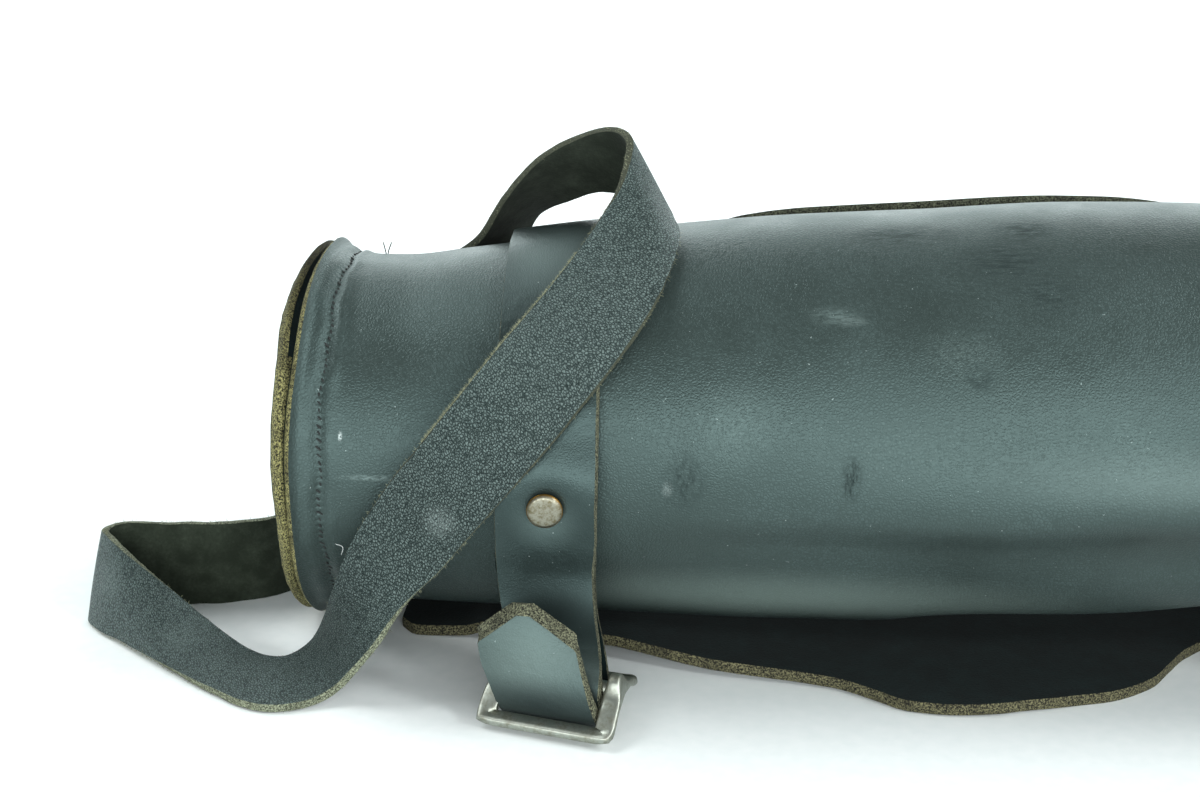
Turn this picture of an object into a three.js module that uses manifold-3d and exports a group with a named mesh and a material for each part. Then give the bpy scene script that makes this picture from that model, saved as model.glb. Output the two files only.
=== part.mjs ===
// Motorcycle tool bag: a rolled leather tube lying on its side, with sewn end caps,
// a flap that covers the mouth underneath, two buckled closing straps and a long carry strap.
// Millimetres, +Z up. X runs along the bag, -Y is its front, and z = 0 is the surface it lies on.
import * as THREE from 'three';
import { mergeVertices } from 'three/addons/utils/BufferGeometryUtils.js';
import Module from 'manifold-3d';

const wasm = await Module();
wasm.setup();

// Driving dimensions
const HALF_LENGTH = 177;
const LEATHER = 3;
const CARRY_LEATHER = 2;
const GAP = 0.4;
const STRAP_X = 116;
const STRAP_WIDTH = 25;
const MOUTH_FRONT_ANGLE = 22.5;
const MOUTH_BACK_ANGLE = 31;
const MOUTH_HALF_LENGTH = 143;
const FLAP_HALF_LENGTH = 157;
const RIVET_RADIUS = 4.5;
const RIVET_POST_RADIUS = 2;
const RIVET_DOME = 1.7;
const RIVET_ANGLE = -3.7;
const RIVET_SIDES = 12;
const BUCKLE_WIDTH = 33.5;
const BUCKLE_LENGTH = 27.5;
const BUCKLE_BAR = 4.2;
const BUCKLE_SIDE_BAR = 3.2;
const BUCKLE_BOW = 5.4;
const BUCKLE_YAW = -16.5;
const CENTRE_BAR_RADIUS = 1.7;

// Outside radius and height of the bag's centre line along its length
const bagSections = [
  { x: -177, radius: 51.2, height: 51.25 },
  { x: -175.8, radius: 49.7, height: 51.25 },
  { x: -173.5, radius: 48.4, height: 51.25 },
  { x: -170, radius: 47.6, height: 51.25 },
  { x: -165, radius: 47.0, height: 51.25 },
  { x: -157, radius: 47.1, height: 51.25 },
  { x: -140, radius: 48.5, height: 52.2 },
  { x: -116, radius: 50.4, height: 53.7 },
  { x: -90, radius: 52.6, height: 55.0 },
  { x: -60, radius: 54.4, height: 56.4 },
  { x: -20, radius: 55.6, height: 57.8 },
  { x: 20, radius: 56.9, height: 59.2 },
  { x: 50, radius: 57.0, height: 59.4 },
  { x: 80, radius: 54.8, height: 57.2 },
  { x: 116, radius: 50.4, height: 53.7 },
  { x: 140, radius: 48.5, height: 52.2 },
  { x: 157, radius: 47.1, height: 51.25 },
  { x: 165, radius: 47.0, height: 51.25 },
  { x: 170, radius: 47.6, height: 51.25 },
  { x: 173.5, radius: 48.4, height: 51.25 },
  { x: 175.8, radius: 49.7, height: 51.25 },
  { x: 177, radius: 51.2, height: 51.25 },
];

// Shallow dents in the lower front of the tube, in millimetres and degrees
const dents = [
  { x: 62, angle: -24, halfLength: 42, halfAngle: 12, depth: 2.6 },
  { x: 78, angle: -62, halfLength: 36, halfAngle: 24, depth: 7 },
];

// The flap's outline: angle of its upper edge on the back, and its front edge on the floor
const flapUpperEdge = [
  { x: -157, angle: 142 },
  { x: -150, angle: 137 },
  { x: -100, angle: 134 },
  { x: -80, angle: 128 },
  { x: -66, angle: 119 },
  { x: -48, angle: 114.5 },
  { x: -9, angle: 113 },
  { x: 30, angle: 114.5 },
  { x: 48, angle: 119 },
  { x: 62, angle: 128 },
  { x: 82, angle: 134 },
  { x: 150, angle: 137 },
  { x: 157, angle: 142 },
];
const flapFrontEdge = [
  { x: -157, y: -12, lift: 0 },
  { x: -152, y: -23, lift: 0 },
  { x: -140, y: -28, lift: 0 },
  { x: -131, y: -29, lift: 3.6 },
  { x: -101, y: -29.5, lift: 3.6 },
  { x: -73, y: -39.5, lift: 1.2 },
  { x: -44, y: -48, lift: 0 },
  { x: -33, y: -55.5, lift: 0 },
  { x: -25, y: -60.5, lift: 0 },
  { x: -12, y: -62, lift: 0 },
  { x: 8, y: -57.5, lift: 0 },
  { x: 28, y: -51, lift: 0 },
  { x: 39, y: -44, lift: 0 },
  { x: 46, y: -35, lift: 0 },
  { x: 53, y: -26, lift: 0 },
  { x: 62, y: -20, lift: 0.4 },
  { x: 101, y: -18, lift: 3.6 },
  { x: 131, y: -18, lift: 3.6 },
  { x: 140, y: -17.5, lift: 0 },
  { x: 152, y: -15, lift: 0 },
  { x: 157, y: -9, lift: 0 },
];

// Closing strap from its turned-back end to its pointed tip, on the left side of the bag.
// A row with an angle lies on the bag at a height above its leather; the others hang free,
// and narrow is the share of the full width that is cut to pass the buckle.
const ON_BAG = GAP + LEATHER / 2;
const ON_LAYER = 2 * GAP + 1.5 * LEATHER;
const strapRoute = [
  { angle: 1, lift: ON_BAG },
  { angle: RIVET_ANGLE, lift: ON_BAG },
  { angle: -14, lift: ON_BAG },
  { dx: 0.6, y: -49.3, z: 31, yaw: -4 },
  { dx: 2.4, y: -50.6, z: 21.5, yaw: -9, narrow: 0.97 },
  { dx: 5.2, y: -57.4, z: 13.0, yaw: -15, narrow: 0.93 },
  { dx: 5.5, y: -63.2, z: 6.5, yaw: BUCKLE_YAW, narrow: 0.93 },
  { dx: 4.6, y: -66.6, z: 5.4, yaw: BUCKLE_YAW, narrow: 0.93 },
  { dx: 3.8, y: -69.6, z: 7.2, yaw: BUCKLE_YAW, narrow: 0.93 },
  { dx: 3.6, y: -70.2, z: 10.3, yaw: BUCKLE_YAW, narrow: 0.93 },
  { dx: 3.7, y: -68.6, z: 12.8, yaw: BUCKLE_YAW, narrow: 0.93 },
  { dx: 2.7, y: -61.6, z: 16.0, yaw: -13, narrow: 0.95 },
  { dx: 0.9, y: -54.7, z: 22.6, yaw: -8, narrow: 0.96 },
  { dx: 0, y: -52.9, z: 31, yaw: -4, narrow: 0.97 },
  { angle: -14, lift: ON_LAYER },
  { angle: RIVET_ANGLE, lift: ON_LAYER },
  { angle: 3, lift: ON_LAYER - 0.6 },
  { angle: 14, lift: ON_BAG + 0.5 },
  { angle: 28, lift: ON_BAG },
  { angle: 55, lift: ON_BAG },
  { angle: 82, lift: ON_BAG },
  { angle: 106, lift: ON_BAG },
  { angle: 118, lift: ON_BAG + 1.2 },
  { angle: 129, lift: ON_LAYER },
  { angle: 165, lift: ON_LAYER },
  { angle: 192, lift: ON_LAYER },
  { angle: 219, lift: ON_LAYER },
  { angle: 245, lift: ON_LAYER },
  { dx: 0, y: 18, z: 1.7, yaw: 0 },
  { dx: 0, y: 10, z: 1.55, yaw: 0 },
  { dx: 0, y: -20, z: 1.55, yaw: 0 },
  { dx: 1.2, y: -42, z: 1.55, yaw: -7 },
  { dx: 3.2, y: -62, z: 1.55, yaw: -15 },
  { dx: 3.1, y: -70.2, z: 2.2, yaw: BUCKLE_YAW },
  { dx: 2.6, y: -73.6, z: 5.2, yaw: BUCKLE_YAW },
  { dx: 1.2, y: -74.1, z: 10, yaw: -15.5, narrow: 1 },
  { dx: -1.3, y: -72.3, z: 17, yaw: -11, narrow: 1 },
  { dx: -3.2, y: -70.2, z: 24, yaw: -6, narrow: 0.97 },
  { dx: -4.6, y: -68.2, z: 30.4, yaw: -3, narrow: 0.95 },
];
const STRAP_STEPS = 2;
const STRAP_ARC_STEP = 12;

// Where the buckle sits, beside the strap's centre line
const buckleSeat = { dx: 4.7, y: -66.2, z: 4.0, pitch: 7 };

// Carry strap: its two cut edges, from the rivet on the back round to the rivet on the other side
const carryRoute = [
  { a: [-156, 52, 44], b: [-132, 54, 44] },
  { a: [-156, 50.4, 65], b: [-132, 52.6, 67] },
  { a: [-154, 41.6, 84], b: [-131, 44, 87] },
  { a: [-139, 22, 100], b: [-126, 41, 101] },
  { a: [-132, 16, 112], b: [-122, 34, 106] },
  { a: [-122, 10, 124], b: [-115, 27, 110] },
  { a: [-110, 4, 131.5], b: [-106, 20, 114] },
  { a: [-102, -2, 134], b: [-96, 12, 114] },
  { a: [-98, -9, 132.5], b: [-88.5, 3, 112.5] },
  { a: [-98.5, -15, 127], b: [-86.5, -5, 111] },
  { a: [-100.5, -19.5, 121], b: [-85, -14, 109] },
  { a: [-105, -24, 114.5], b: [-86.5, -26, 104] },
  { a: [-113, -32, 103.5], b: [-92.5, -41.5, 94] },
  { a: [-127, -45.5, 88.5], b: [-111, -55, 71] },
  { a: [-142, -53.5, 70.5], b: [-127.5, -59, 51.5] },
  { a: [-154, -54.5, 55], b: [-141, -57.5, 34.5] },
  { a: [-163.5, -51.5, 39], b: [-151, -59, 24] },
  { a: [-170, -46, 22.5], b: [-156, -62.5, 17] },
  { a: [-174, -42.5, 11], b: [-162.5, -63.5, 9] },
  { a: [-177, -42.5, 6], b: [-167, -64.5, 4.2] },
  { a: [-180.5, -44, 3.4], b: [-171.5, -66.5, 2] },
  { a: [-184, -46, 2.6], b: [-177, -69, 1.3] },
  { a: [-188.5, -46.5, 3], b: [-184.5, -70, 1.3] },
  { a: [-193.5, -45, 4], b: [-191, -67.5, 1.3] },
  { a: [-200.5, -41, 6.5], b: [-198, -62.5, 1.3] },
  { a: [-211, -34, 11], b: [-207.5, -55, 1.2] },
  { a: [-222.5, -27.5, 17], b: [-219.5, -44.5, 1.1] },
  { a: [-231, -23, 21.5], b: [-230, -35, 0.8] },
  { a: [-236, -18.5, 23.5], b: [-238, -28, 0.5] },
  { a: [-239, -14, 24], b: [-242.5, -20.5, 0.3] },
  { a: [-235.5, -10, 24.4], b: [-238, -13.5, 0.25] },
  { a: [-221, -9.5, 24.5], b: [-221, -9.5, 0.25] },
  { a: [-206, -8, 24.5], b: [-206, -6.5, 0.25] },
  { a: [-195, -3, 24.5], b: [-194.5, 0, 0.25] },
  { a: [-188.5, 8, 24.5], b: [-188.5, 10, 0.25] },
  { a: [-187, 24, 24.5], b: [-187, 25, 0.25] },
  { a: [-184.5, 40, 24.5], b: [-184.5, 40, 0.25] },
  { a: [-175, 52, 24.5], b: [-175, 52, 0.25] },
  { a: [-158, 58.5, 24.5], b: [-158, 58.5, 0.25] },
  { a: [-125, 61, 24.5], b: [-125, 61, 0.25] },
  { a: [-55, 62.5, 24.5], b: [-55, 62.5, 0.25] },
  { a: [20, 63, 24.5], b: [20, 63, 0.25] },
  { a: [65, 63, 27], b: [67, 63, 2.7] },
  { a: [103, 61.5, 43], b: [108, 61.5, 19] },
  { a: [127, 60.5, 57], b: [131, 60.5, 33] },
  { a: [141, 55.4, 62], b: [143, 55.4, 38] },
  { a: [157, 54.2, 64], b: [157, 54.2, 40] },
];
const CARRY_STEPS = 2;

// Plain colours of the pieces
const finishes = {
  body: { color: 0x33383a, roughness: 0.5, metalness: 0 },
  flap: { color: 0x1e1d1b, roughness: 0.85, metalness: 0 },
  strap: { color: 0x2c3235, roughness: 0.4, metalness: 0 },
  carry: { color: 0x3a3f41, roughness: 0.65, metalness: 0 },
  steel: { color: 0x9a9488, roughness: 0.35, metalness: 1 },
};

const radians = THREE.MathUtils.degToRad;

// A smooth value between the rows of a table: a cubic through each row's slope
function smoothTable(rows, column, x) {
  const last = rows.length - 1;
  if (x <= rows[0].x) return rows[0][column];
  if (x >= rows[last].x) return rows[last][column];
  let i = 0;
  while (x > rows[i + 1].x) i += 1;
  const chord = (k) => (rows[k + 1][column] - rows[k][column]) / (rows[k + 1].x - rows[k].x);
  const slope = (k) => {
    if (k === 0) return chord(0);
    if (k === last) return chord(last - 1);
    const before = chord(k - 1);
    const after = chord(k);
    return before * after <= 0 ? 0 : (2 * before * after) / (before + after);
  };
  const span = rows[i + 1].x - rows[i].x;
  const t = (x - rows[i].x) / span;
  const rise = t * t * (3 - 2 * t);
  const early = t * (1 - t) * (1 - t) * span;
  const late = t * t * (t - 1) * span;
  return rows[i][column] + rise * (rows[i + 1][column] - rows[i][column])
    + early * slope(i) + late * slope(i + 1);
}

const bagRadius = (x) => smoothTable(bagSections, 'radius', x);
const bagHeight = (x) => smoothTable(bagSections, 'height', x);

function dentDepth(x, angle) {
  let depth = 0;
  for (const dent of dents) {
    const along = (x - dent.x) / dent.halfLength;
    const around = (angle - dent.angle) / dent.halfAngle;
    depth += dent.depth * Math.exp(-along * along - around * around);
  }
  return depth;
}

// A point round the bag: 0 degrees is the front, 90 the top, 180 the back
function roundBag(x, angle, radius) {
  const a = radians(angle);
  return new THREE.Vector3(x, -radius * Math.cos(a), bagHeight(x) + radius * Math.sin(a));
}

const onBag = (x, angle, lift) => roundBag(x, angle, bagRadius(x) - dentDepth(x, angle) + lift);

// The tube's profile moved inwards, square to the leather: [distance along, radius]
function profileInside(x, depth) {
  const step = 0.2;
  const slope = (bagRadius(x + step) - bagRadius(x - step)) / (2 * step);
  const size = Math.hypot(1, slope);
  return [x + (depth * slope) / size, bagRadius(x) - depth / size];
}

// A closed geometry from points and triangles, turned outwards if it came out inside out
function solidGeometry(points, triangles) {
  let volume = 0;
  for (const [a, b, c] of triangles) {
    volume += points[a].dot(points[b].clone().cross(points[c]));
  }
  const faces = volume < 0 ? triangles.map(([a, b, c]) => [a, c, b]) : triangles;
  const geometry = new THREE.BufferGeometry();
  geometry.setAttribute('position', new THREE.Float32BufferAttribute(points.flatMap((p) => p.toArray()), 3));
  geometry.setIndex(faces.flat());
  return geometry;
}

// A sheet of leather: face(i, j, side) gives its two faces on a grid, and walls close its edges
function sheetGeometry(rows, columns, face) {
  const points = [];
  const triangles = [];
  const index = (i, j, side) => (i * (columns + 1) + j) * 2 + side;
  const quad = (a, b, c, d) => triangles.push([a, b, c], [a, c, d]);
  for (let i = 0; i <= rows; i += 1) {
    for (let j = 0; j <= columns; j += 1) points.push(face(i, j, 0), face(i, j, 1));
  }
  for (let i = 0; i < rows; i += 1) {
    for (let j = 0; j < columns; j += 1) {
      quad(index(i, j, 1), index(i + 1, j, 1), index(i + 1, j + 1, 1), index(i, j + 1, 1));
      quad(index(i, j, 0), index(i, j + 1, 0), index(i + 1, j + 1, 0), index(i + 1, j, 0));
    }
  }
  for (let i = 0; i < rows; i += 1) {
    quad(index(i, 0, 0), index(i + 1, 0, 0), index(i + 1, 0, 1), index(i, 0, 1));
    quad(index(i, columns, 0), index(i, columns, 1), index(i + 1, columns, 1), index(i + 1, columns, 0));
  }
  for (let j = 0; j < columns; j += 1) {
    quad(index(0, j, 0), index(0, j, 1), index(0, j + 1, 1), index(0, j + 1, 0));
    quad(index(rows, j, 0), index(rows, j + 1, 0), index(rows, j + 1, 1), index(rows, j, 1));
  }
  return solidGeometry(points, triangles);
}

// A strip of leather between two edge curves, its thickness square to both
function ribbonGeometry(edgeA, edgeB, thickness, stepsPerRow, widthAt) {
  const curveA = new THREE.CatmullRomCurve3(edgeA, false, 'centripetal');
  const curveB = new THREE.CatmullRomCurve3(edgeB, false, 'centripetal');
  const rows = (edgeA.length - 1) * stepsPerRow;
  const middle = (t) => curveA.getPoint(t).add(curveB.getPoint(t)).multiplyScalar(0.5);
  const face = (i, j, side) => {
    const t = i / rows;
    const near = 0.2 / rows;
    const along = middle(Math.min(1, t + near)).sub(middle(Math.max(0, t - near)));
    const across = curveB.getPoint(t).sub(curveA.getPoint(t));
    const normal = along.cross(across).normalize();
    const reach = (j - 0.5) * widthAt(i, rows);
    return middle(t).addScaledVector(across, reach).addScaledVector(normal, (side - 0.5) * thickness);
  };
  return sheetGeometry(rows, 1, face);
}

function toManifold(geometry) {
  const bare = geometry.clone();
  bare.deleteAttribute('normal');
  bare.deleteAttribute('uv');
  const merged = mergeVertices(bare, 1e-4);
  const vertProperties = new Float32Array(merged.attributes.position.array);
  const triVerts = new Uint32Array(merged.index.array);
  return new wasm.Manifold(new wasm.Mesh({ numProp: 3, vertProperties, triVerts }));
}

function fromManifold(solid) {
  const mesh = solid.getMesh();
  const geometry = new THREE.BufferGeometry();
  geometry.setAttribute('position', new THREE.BufferAttribute(new Float32Array(mesh.vertProperties), 3));
  geometry.setIndex(new THREE.BufferAttribute(new Uint32Array(mesh.triVerts), 1));
  return geometry;
}

const group = new THREE.Group();
group.name = 'motorcycle_tool_bag';

function addPiece(name, geometry, finish) {
  const mesh = new THREE.Mesh(geometry, new THREE.MeshStandardMaterial(finishes[finish]));
  mesh.name = name;
  group.add(mesh);
  return mesh;
}

// Body: the rolled tube, open along the underside where the mouth is
const rimStations = [177, 176.3, 175.4, 174, 171.8, 168.5, 164, 157, 151, 145, 138, 130];
const bodyStations = [
  ...rimStations.map((x) => -x),
  ...[-118, -104, -88, -70, -50, -28, -5, 18, 38, 56, 74, 92, 108, 120],
  ...rimStations.slice().reverse(),
];
const BODY_COLUMNS = 26;

// How far the mouth is open at a place along the bag, from 1 to a closed seam at the ends
function mouthOpening(x) {
  const closed = THREE.MathUtils.smoothstep(Math.abs(x), MOUTH_HALF_LENGTH - 8, MOUTH_HALF_LENGTH + 8);
  return 1 - 0.98 * closed;
}

function bodyFace(i, j, side) {
  const x = bodyStations[i];
  const frontLip = -90 + MOUTH_FRONT_ANGLE * mouthOpening(x);
  const backLip = 270 - MOUTH_BACK_ANGLE * mouthOpening(x);
  const angle = THREE.MathUtils.lerp(frontLip, backLip, j / BODY_COLUMNS);
  if (side === 1) return onBag(x, angle, 0);
  const [insideX, insideRadius] = profileInside(x, LEATHER);
  const point = roundBag(x, angle, insideRadius - dentDepth(x, angle));
  return point.setX(insideX);
}
addPiece('body', sheetGeometry(bodyStations.length - 1, BODY_COLUMNS, bodyFace), 'body');

// End caps: shallow pans whose rims turn out inside the tube's flared ends
const CAP_DISC_X = 158;
const CAP_RIM_REACH = 1.6;
const CAP_DEPTH = LEATHER + GAP + 0.25;
const CAP_SEGMENTS = 24;
const capStations = [177, 175.6, 173.6, 170.5, 166];

function capGeometry() {
  const outer = capStations.map((x) => profileInside(x, CAP_DEPTH));
  const inner = capStations.map((x) => profileInside(x, CAP_DEPTH + LEATHER));
  const rimOuter = [outer[0][0] + CAP_RIM_REACH * 0.62, outer[0][1] + CAP_RIM_REACH * 0.78];
  const rimInner = [inner[0][0] + CAP_RIM_REACH * 0.62, inner[0][1] + CAP_RIM_REACH * 0.78];
  const wall = outer[outer.length - 1][1];
  const profile = [
    [CAP_DISC_X, 0],
    [CAP_DISC_X, wall - 4],
    [CAP_DISC_X + 1.3, wall - 1.2],
    [CAP_DISC_X + 4, wall],
    ...outer.slice().reverse(),
    rimOuter,
    rimInner,
    ...inner,
    [CAP_DISC_X + 4.4, wall - LEATHER],
    [CAP_DISC_X + LEATHER, wall - LEATHER - 2],
    [CAP_DISC_X + LEATHER, 0],
  ];
  const lathe = profile.map(([along, radius]) => new THREE.Vector2(radius, along));
  return new THREE.LatheGeometry(lathe, CAP_SEGMENTS);
}
const rimHeight = bagHeight(HALF_LENGTH);
for (const [name, turn] of [['end_left', 1], ['end_right', -1]]) {
  const cap = addPiece(name, capGeometry(), 'body');
  cap.rotation.z = turn * Math.PI / 2;
  cap.position.z = rimHeight;
}

// Flap: one sheet down the back, under the bag and out at the front
const lobeStations = [-60, -40, -34, -16, 8, 28, 44, 50, 64];
const flapStations = [...bodyStations, ...lobeStations]
  .filter((x) => Math.abs(x) <= FLAP_HALF_LENGTH)
  .sort((a, b) => a - b);
const FLAP_ARC_COLUMNS = 13;
const FLAP_FLOOR_COLUMNS = 4;

function flapFace(i, j, side) {
  const x = flapStations[i];
  const lift = side === 1 ? GAP + LEATHER : GAP;
  const floor = smoothTable(flapFrontEdge, 'lift', x) + (side === 1 ? 0 : LEATHER);
  if (j <= FLAP_ARC_COLUMNS) {
    const angle = THREE.MathUtils.lerp(smoothTable(flapUpperEdge, 'angle', x), 270, j / FLAP_ARC_COLUMNS);
    const point = onBag(x, angle, lift);
    return point.setZ(Math.max(point.z, floor));
  }
  const forward = (j - FLAP_ARC_COLUMNS) / FLAP_FLOOR_COLUMNS;
  return new THREE.Vector3(x, forward * smoothTable(flapFrontEdge, 'y', x), floor);
}
const flapColumns = FLAP_ARC_COLUMNS + FLAP_FLOOR_COLUMNS;
addPiece('flap', sheetGeometry(flapStations.length - 1, flapColumns, flapFace), 'flap');

// The route with extra rows where it bends round the bag
function fullStrapRoute() {
  const rows = [];
  strapRoute.forEach((row, i) => {
    rows.push(row);
    const next = strapRoute[i + 1];
    if (next === undefined || row.angle === undefined || next.angle === undefined) return;
    const steps = Math.ceil(Math.abs(next.angle - row.angle) / STRAP_ARC_STEP);
    for (let k = 1; k < steps; k += 1) {
      const t = k / steps;
      const angle = THREE.MathUtils.lerp(row.angle, next.angle, t);
      rows.push({ angle, lift: THREE.MathUtils.lerp(row.lift, next.lift, t) });
    }
  });
  return rows;
}

// One cut edge of a closing strap: edge is -1 or 1, side is -1 for the left strap and 1 for the right
function strapEdge(side, edge) {
  return fullStrapRoute().map((row) => {
    if (row.angle !== undefined) {
      const x = side * (STRAP_X - (edge * STRAP_WIDTH) / 2);
      return onBag(x, row.angle, row.lift);
    }
    const yaw = radians(row.yaw);
    const reach = (edge * STRAP_WIDTH * (row.narrow ?? 1)) / 2;
    const x = side * (STRAP_X - row.dx - Math.cos(yaw) * reach);
    const y = row.y + Math.sin(yaw) * reach;
    return new THREE.Vector3(x, y, row.z);
  });
}

// The strap's last span narrows to its point
function strapWidthAt(i, rows) {
  const toEnd = (rows - i) / STRAP_STEPS;
  return Math.min(1, 0.04 + toEnd);
}

// A domed rivet on its post, standing along +Y of its own frame
function rivetGeometry(postLength) {
  const profile = [
    [0, -postLength],
    [RIVET_POST_RADIUS, -postLength],
    [RIVET_POST_RADIUS, 0],
    [RIVET_RADIUS - 0.3, 0],
    [RIVET_RADIUS, 0.4],
    [RIVET_RADIUS * 0.8, RIVET_DOME * 0.72],
    [RIVET_RADIUS * 0.4, RIVET_DOME * 0.95],
    [0, RIVET_DOME],
  ];
  return new THREE.LatheGeometry(profile.map(([r, h]) => new THREE.Vector2(r, h)), RIVET_SIDES);
}

function placed(geometry, position, outward) {
  const turn = new THREE.Quaternion().setFromUnitVectors(new THREE.Vector3(0, 1, 0), outward);
  const matrix = new THREE.Matrix4().compose(position, turn, new THREE.Vector3(1, 1, 1));
  return geometry.applyMatrix4(matrix);
}

// A drill that clears a rivet's post
function drill(position, outward, length) {
  const rod = new THREE.CylinderGeometry(RIVET_POST_RADIUS + GAP, RIVET_POST_RADIUS + GAP, length, RIVET_SIDES);
  return placed(rod, position, outward);
}

// Closing straps with their rivets
const strapStack = 2 * (LEATHER + GAP);
for (const [name, side] of [['left', -1], ['right', 1]]) {
  const ribbon = ribbonGeometry(strapEdge(side, -1), strapEdge(side, 1), LEATHER, STRAP_STEPS, strapWidthAt);
  const foot = onBag(side * STRAP_X, RIVET_ANGLE, 0);
  const outward = foot.clone().sub(new THREE.Vector3(foot.x, 0, bagHeight(foot.x))).normalize();
  const hole = drill(foot.clone().addScaledVector(outward, 4), outward, 9);
  addPiece(`strap_${name}`, fromManifold(toManifold(ribbon).subtract(toManifold(hole))), 'strap');
  const seat = foot.clone().addScaledVector(outward, strapStack + 2 * GAP);
  addPiece(`rivet_${name}`, placed(rivetGeometry(strapStack - GAP), seat, outward), 'steel');
}

// Buckle: a bowed frame of round-edged bar with a raised bar across its middle
const FRAME_STEPS = 28;
const FRAME_SIDES = 8;

function framePath(t) {
  const a = t * 2 * Math.PI;
  const square = (v) => Math.sign(v) * Math.abs(v) ** 0.3;
  const y = ((BUCKLE_LENGTH - BUCKLE_BAR) / 2) * square(Math.sin(a));
  const middle = 1 - (y / ((BUCKLE_LENGTH - BUCKLE_BAR) / 2)) ** 2;
  const x = ((BUCKLE_WIDTH - BUCKLE_SIDE_BAR) / 2) * square(Math.cos(a));
  return new THREE.Vector3(x, y, BUCKLE_BOW * middle);
}

function frameGeometry() {
  const points = [];
  const triangles = [];
  for (let i = 0; i < FRAME_STEPS; i += 1) {
    const t = (i + 0.5) / FRAME_STEPS;
    const along = framePath(t + 0.01).sub(framePath(t - 0.01)).normalize();
    const outward = along.clone().cross(new THREE.Vector3(0, 0, 1)).normalize();
    const upward = outward.clone().cross(along).normalize();
    for (let k = 0; k < FRAME_SIDES; k += 1) {
      const b = ((k + 0.5) / FRAME_SIDES) * 2 * Math.PI;
      const bar = THREE.MathUtils.lerp(BUCKLE_BAR, BUCKLE_SIDE_BAR, Math.abs(along.y));
      const reach = outward.clone().multiplyScalar((bar / 2) * Math.cos(b));
      points.push(framePath(t).add(reach).addScaledVector(upward, BUCKLE_BAR * 0.42 * Math.sin(b)));
      const next = ((i + 1) % FRAME_STEPS) * FRAME_SIDES;
      const here = i * FRAME_SIDES;
      const turn = (k + 1) % FRAME_SIDES;
      triangles.push([here + k, next + k, next + turn], [here + k, next + turn, here + turn]);
    }
  }
  return solidGeometry(points, triangles);
}

function buckleGeometry() {
  const bar = new THREE.CylinderGeometry(CENTRE_BAR_RADIUS, CENTRE_BAR_RADIUS, BUCKLE_WIDTH - BUCKLE_BAR, 10);
  bar.rotateZ(Math.PI / 2);
  bar.translate(0, 0, BUCKLE_BOW);
  return fromManifold(toManifold(frameGeometry()).add(toManifold(bar)));
}
for (const [name, side] of [['left', -1], ['right', 1]]) {
  const buckle = addPiece(`buckle_${name}`, buckleGeometry(), 'steel');
  buckle.position.set(side * (STRAP_X - buckleSeat.dx), buckleSeat.y, buckleSeat.z);
  buckle.rotation.order = 'ZXY';
  buckle.rotation.z = -side * radians(BUCKLE_YAW);
  buckle.rotation.x = radians(buckleSeat.pitch);
}

// Carry strap with a rivet at each end
const edgeOf = (key) => carryRoute.map((row) => new THREE.Vector3(...row[key]));
const carryRivets = [
  { name: 'carry_rivet_left', at: new THREE.Vector3(-144, 53.2, 51), outward: new THREE.Vector3(0, 1, 0) },
  { name: 'carry_rivet_right', at: new THREE.Vector3(149, 54.7, 51), outward: new THREE.Vector3(0, 1, 0) },
];
let carry = toManifold(ribbonGeometry(edgeOf('a'), edgeOf('b'), CARRY_LEATHER, CARRY_STEPS, () => 1));
for (const rivet of carryRivets) {
  carry = carry.subtract(toManifold(drill(rivet.at, rivet.outward, 8)));
  const seat = rivet.at.clone().addScaledVector(rivet.outward, CARRY_LEATHER / 2 + GAP);
  addPiece(rivet.name, placed(rivetGeometry(CARRY_LEATHER + GAP), seat, rivet.outward), 'steel');
}
addPiece('carry_strap', fromManifold(carry), 'carry');

export default group;
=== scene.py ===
"""Looks of a motorcycle tool bag: leather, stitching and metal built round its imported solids.

Tables are in millimetres in the part's own frame: X along the bag, -Y its front, Z up.
Angles go round the bag in degrees: 0 is the front, 90 the top, 180 the back.
"""

import math

import bpy
import numpy as np
from bpy.props import FloatProperty, FloatVectorProperty, PointerProperty
from mathutils import Euler, Matrix, Vector


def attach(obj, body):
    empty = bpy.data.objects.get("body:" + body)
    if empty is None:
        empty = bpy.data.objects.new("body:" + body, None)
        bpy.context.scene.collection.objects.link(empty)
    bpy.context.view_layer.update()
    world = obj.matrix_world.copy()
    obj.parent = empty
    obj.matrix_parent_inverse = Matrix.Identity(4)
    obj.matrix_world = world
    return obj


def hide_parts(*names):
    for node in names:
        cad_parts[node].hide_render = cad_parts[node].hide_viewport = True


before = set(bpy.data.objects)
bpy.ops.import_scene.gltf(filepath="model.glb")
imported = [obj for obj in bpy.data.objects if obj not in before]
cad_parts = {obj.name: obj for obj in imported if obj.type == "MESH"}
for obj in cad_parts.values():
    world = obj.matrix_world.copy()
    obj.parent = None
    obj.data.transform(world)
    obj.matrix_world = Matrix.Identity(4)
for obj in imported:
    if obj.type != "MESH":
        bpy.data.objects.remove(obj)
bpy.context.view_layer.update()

bl_info = {
    "name": "Motorcycle tool bag",
    "version": (1, 0, 0),
    "blender": (4, 5, 0),
    "location": "View3D > Sidebar > Tool bag",
    "description": "Builds the leather, stitching and metal of a rolled motorcycle tool bag",
    "category": "Add Mesh",
}

MM = 0.001
UV_MM = 100.0
HALF_LENGTH = 177.0
STRAP_X = 116.0
STRAP_WIDTH = 25.0
GAP = 0.4
RIM_HEIGHT = 51.25
MOUTH_FRONT_ANGLE = 22.5
MOUTH_BACK_ANGLE = 31.0
MOUTH_HALF_LENGTH = 143.0
FLAP_HALF_LENGTH = 157.0
RIVET_ANGLE = -3.7
BUCKLE_YAW = -16.5
SHARP_ANGLE = 52.0

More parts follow.
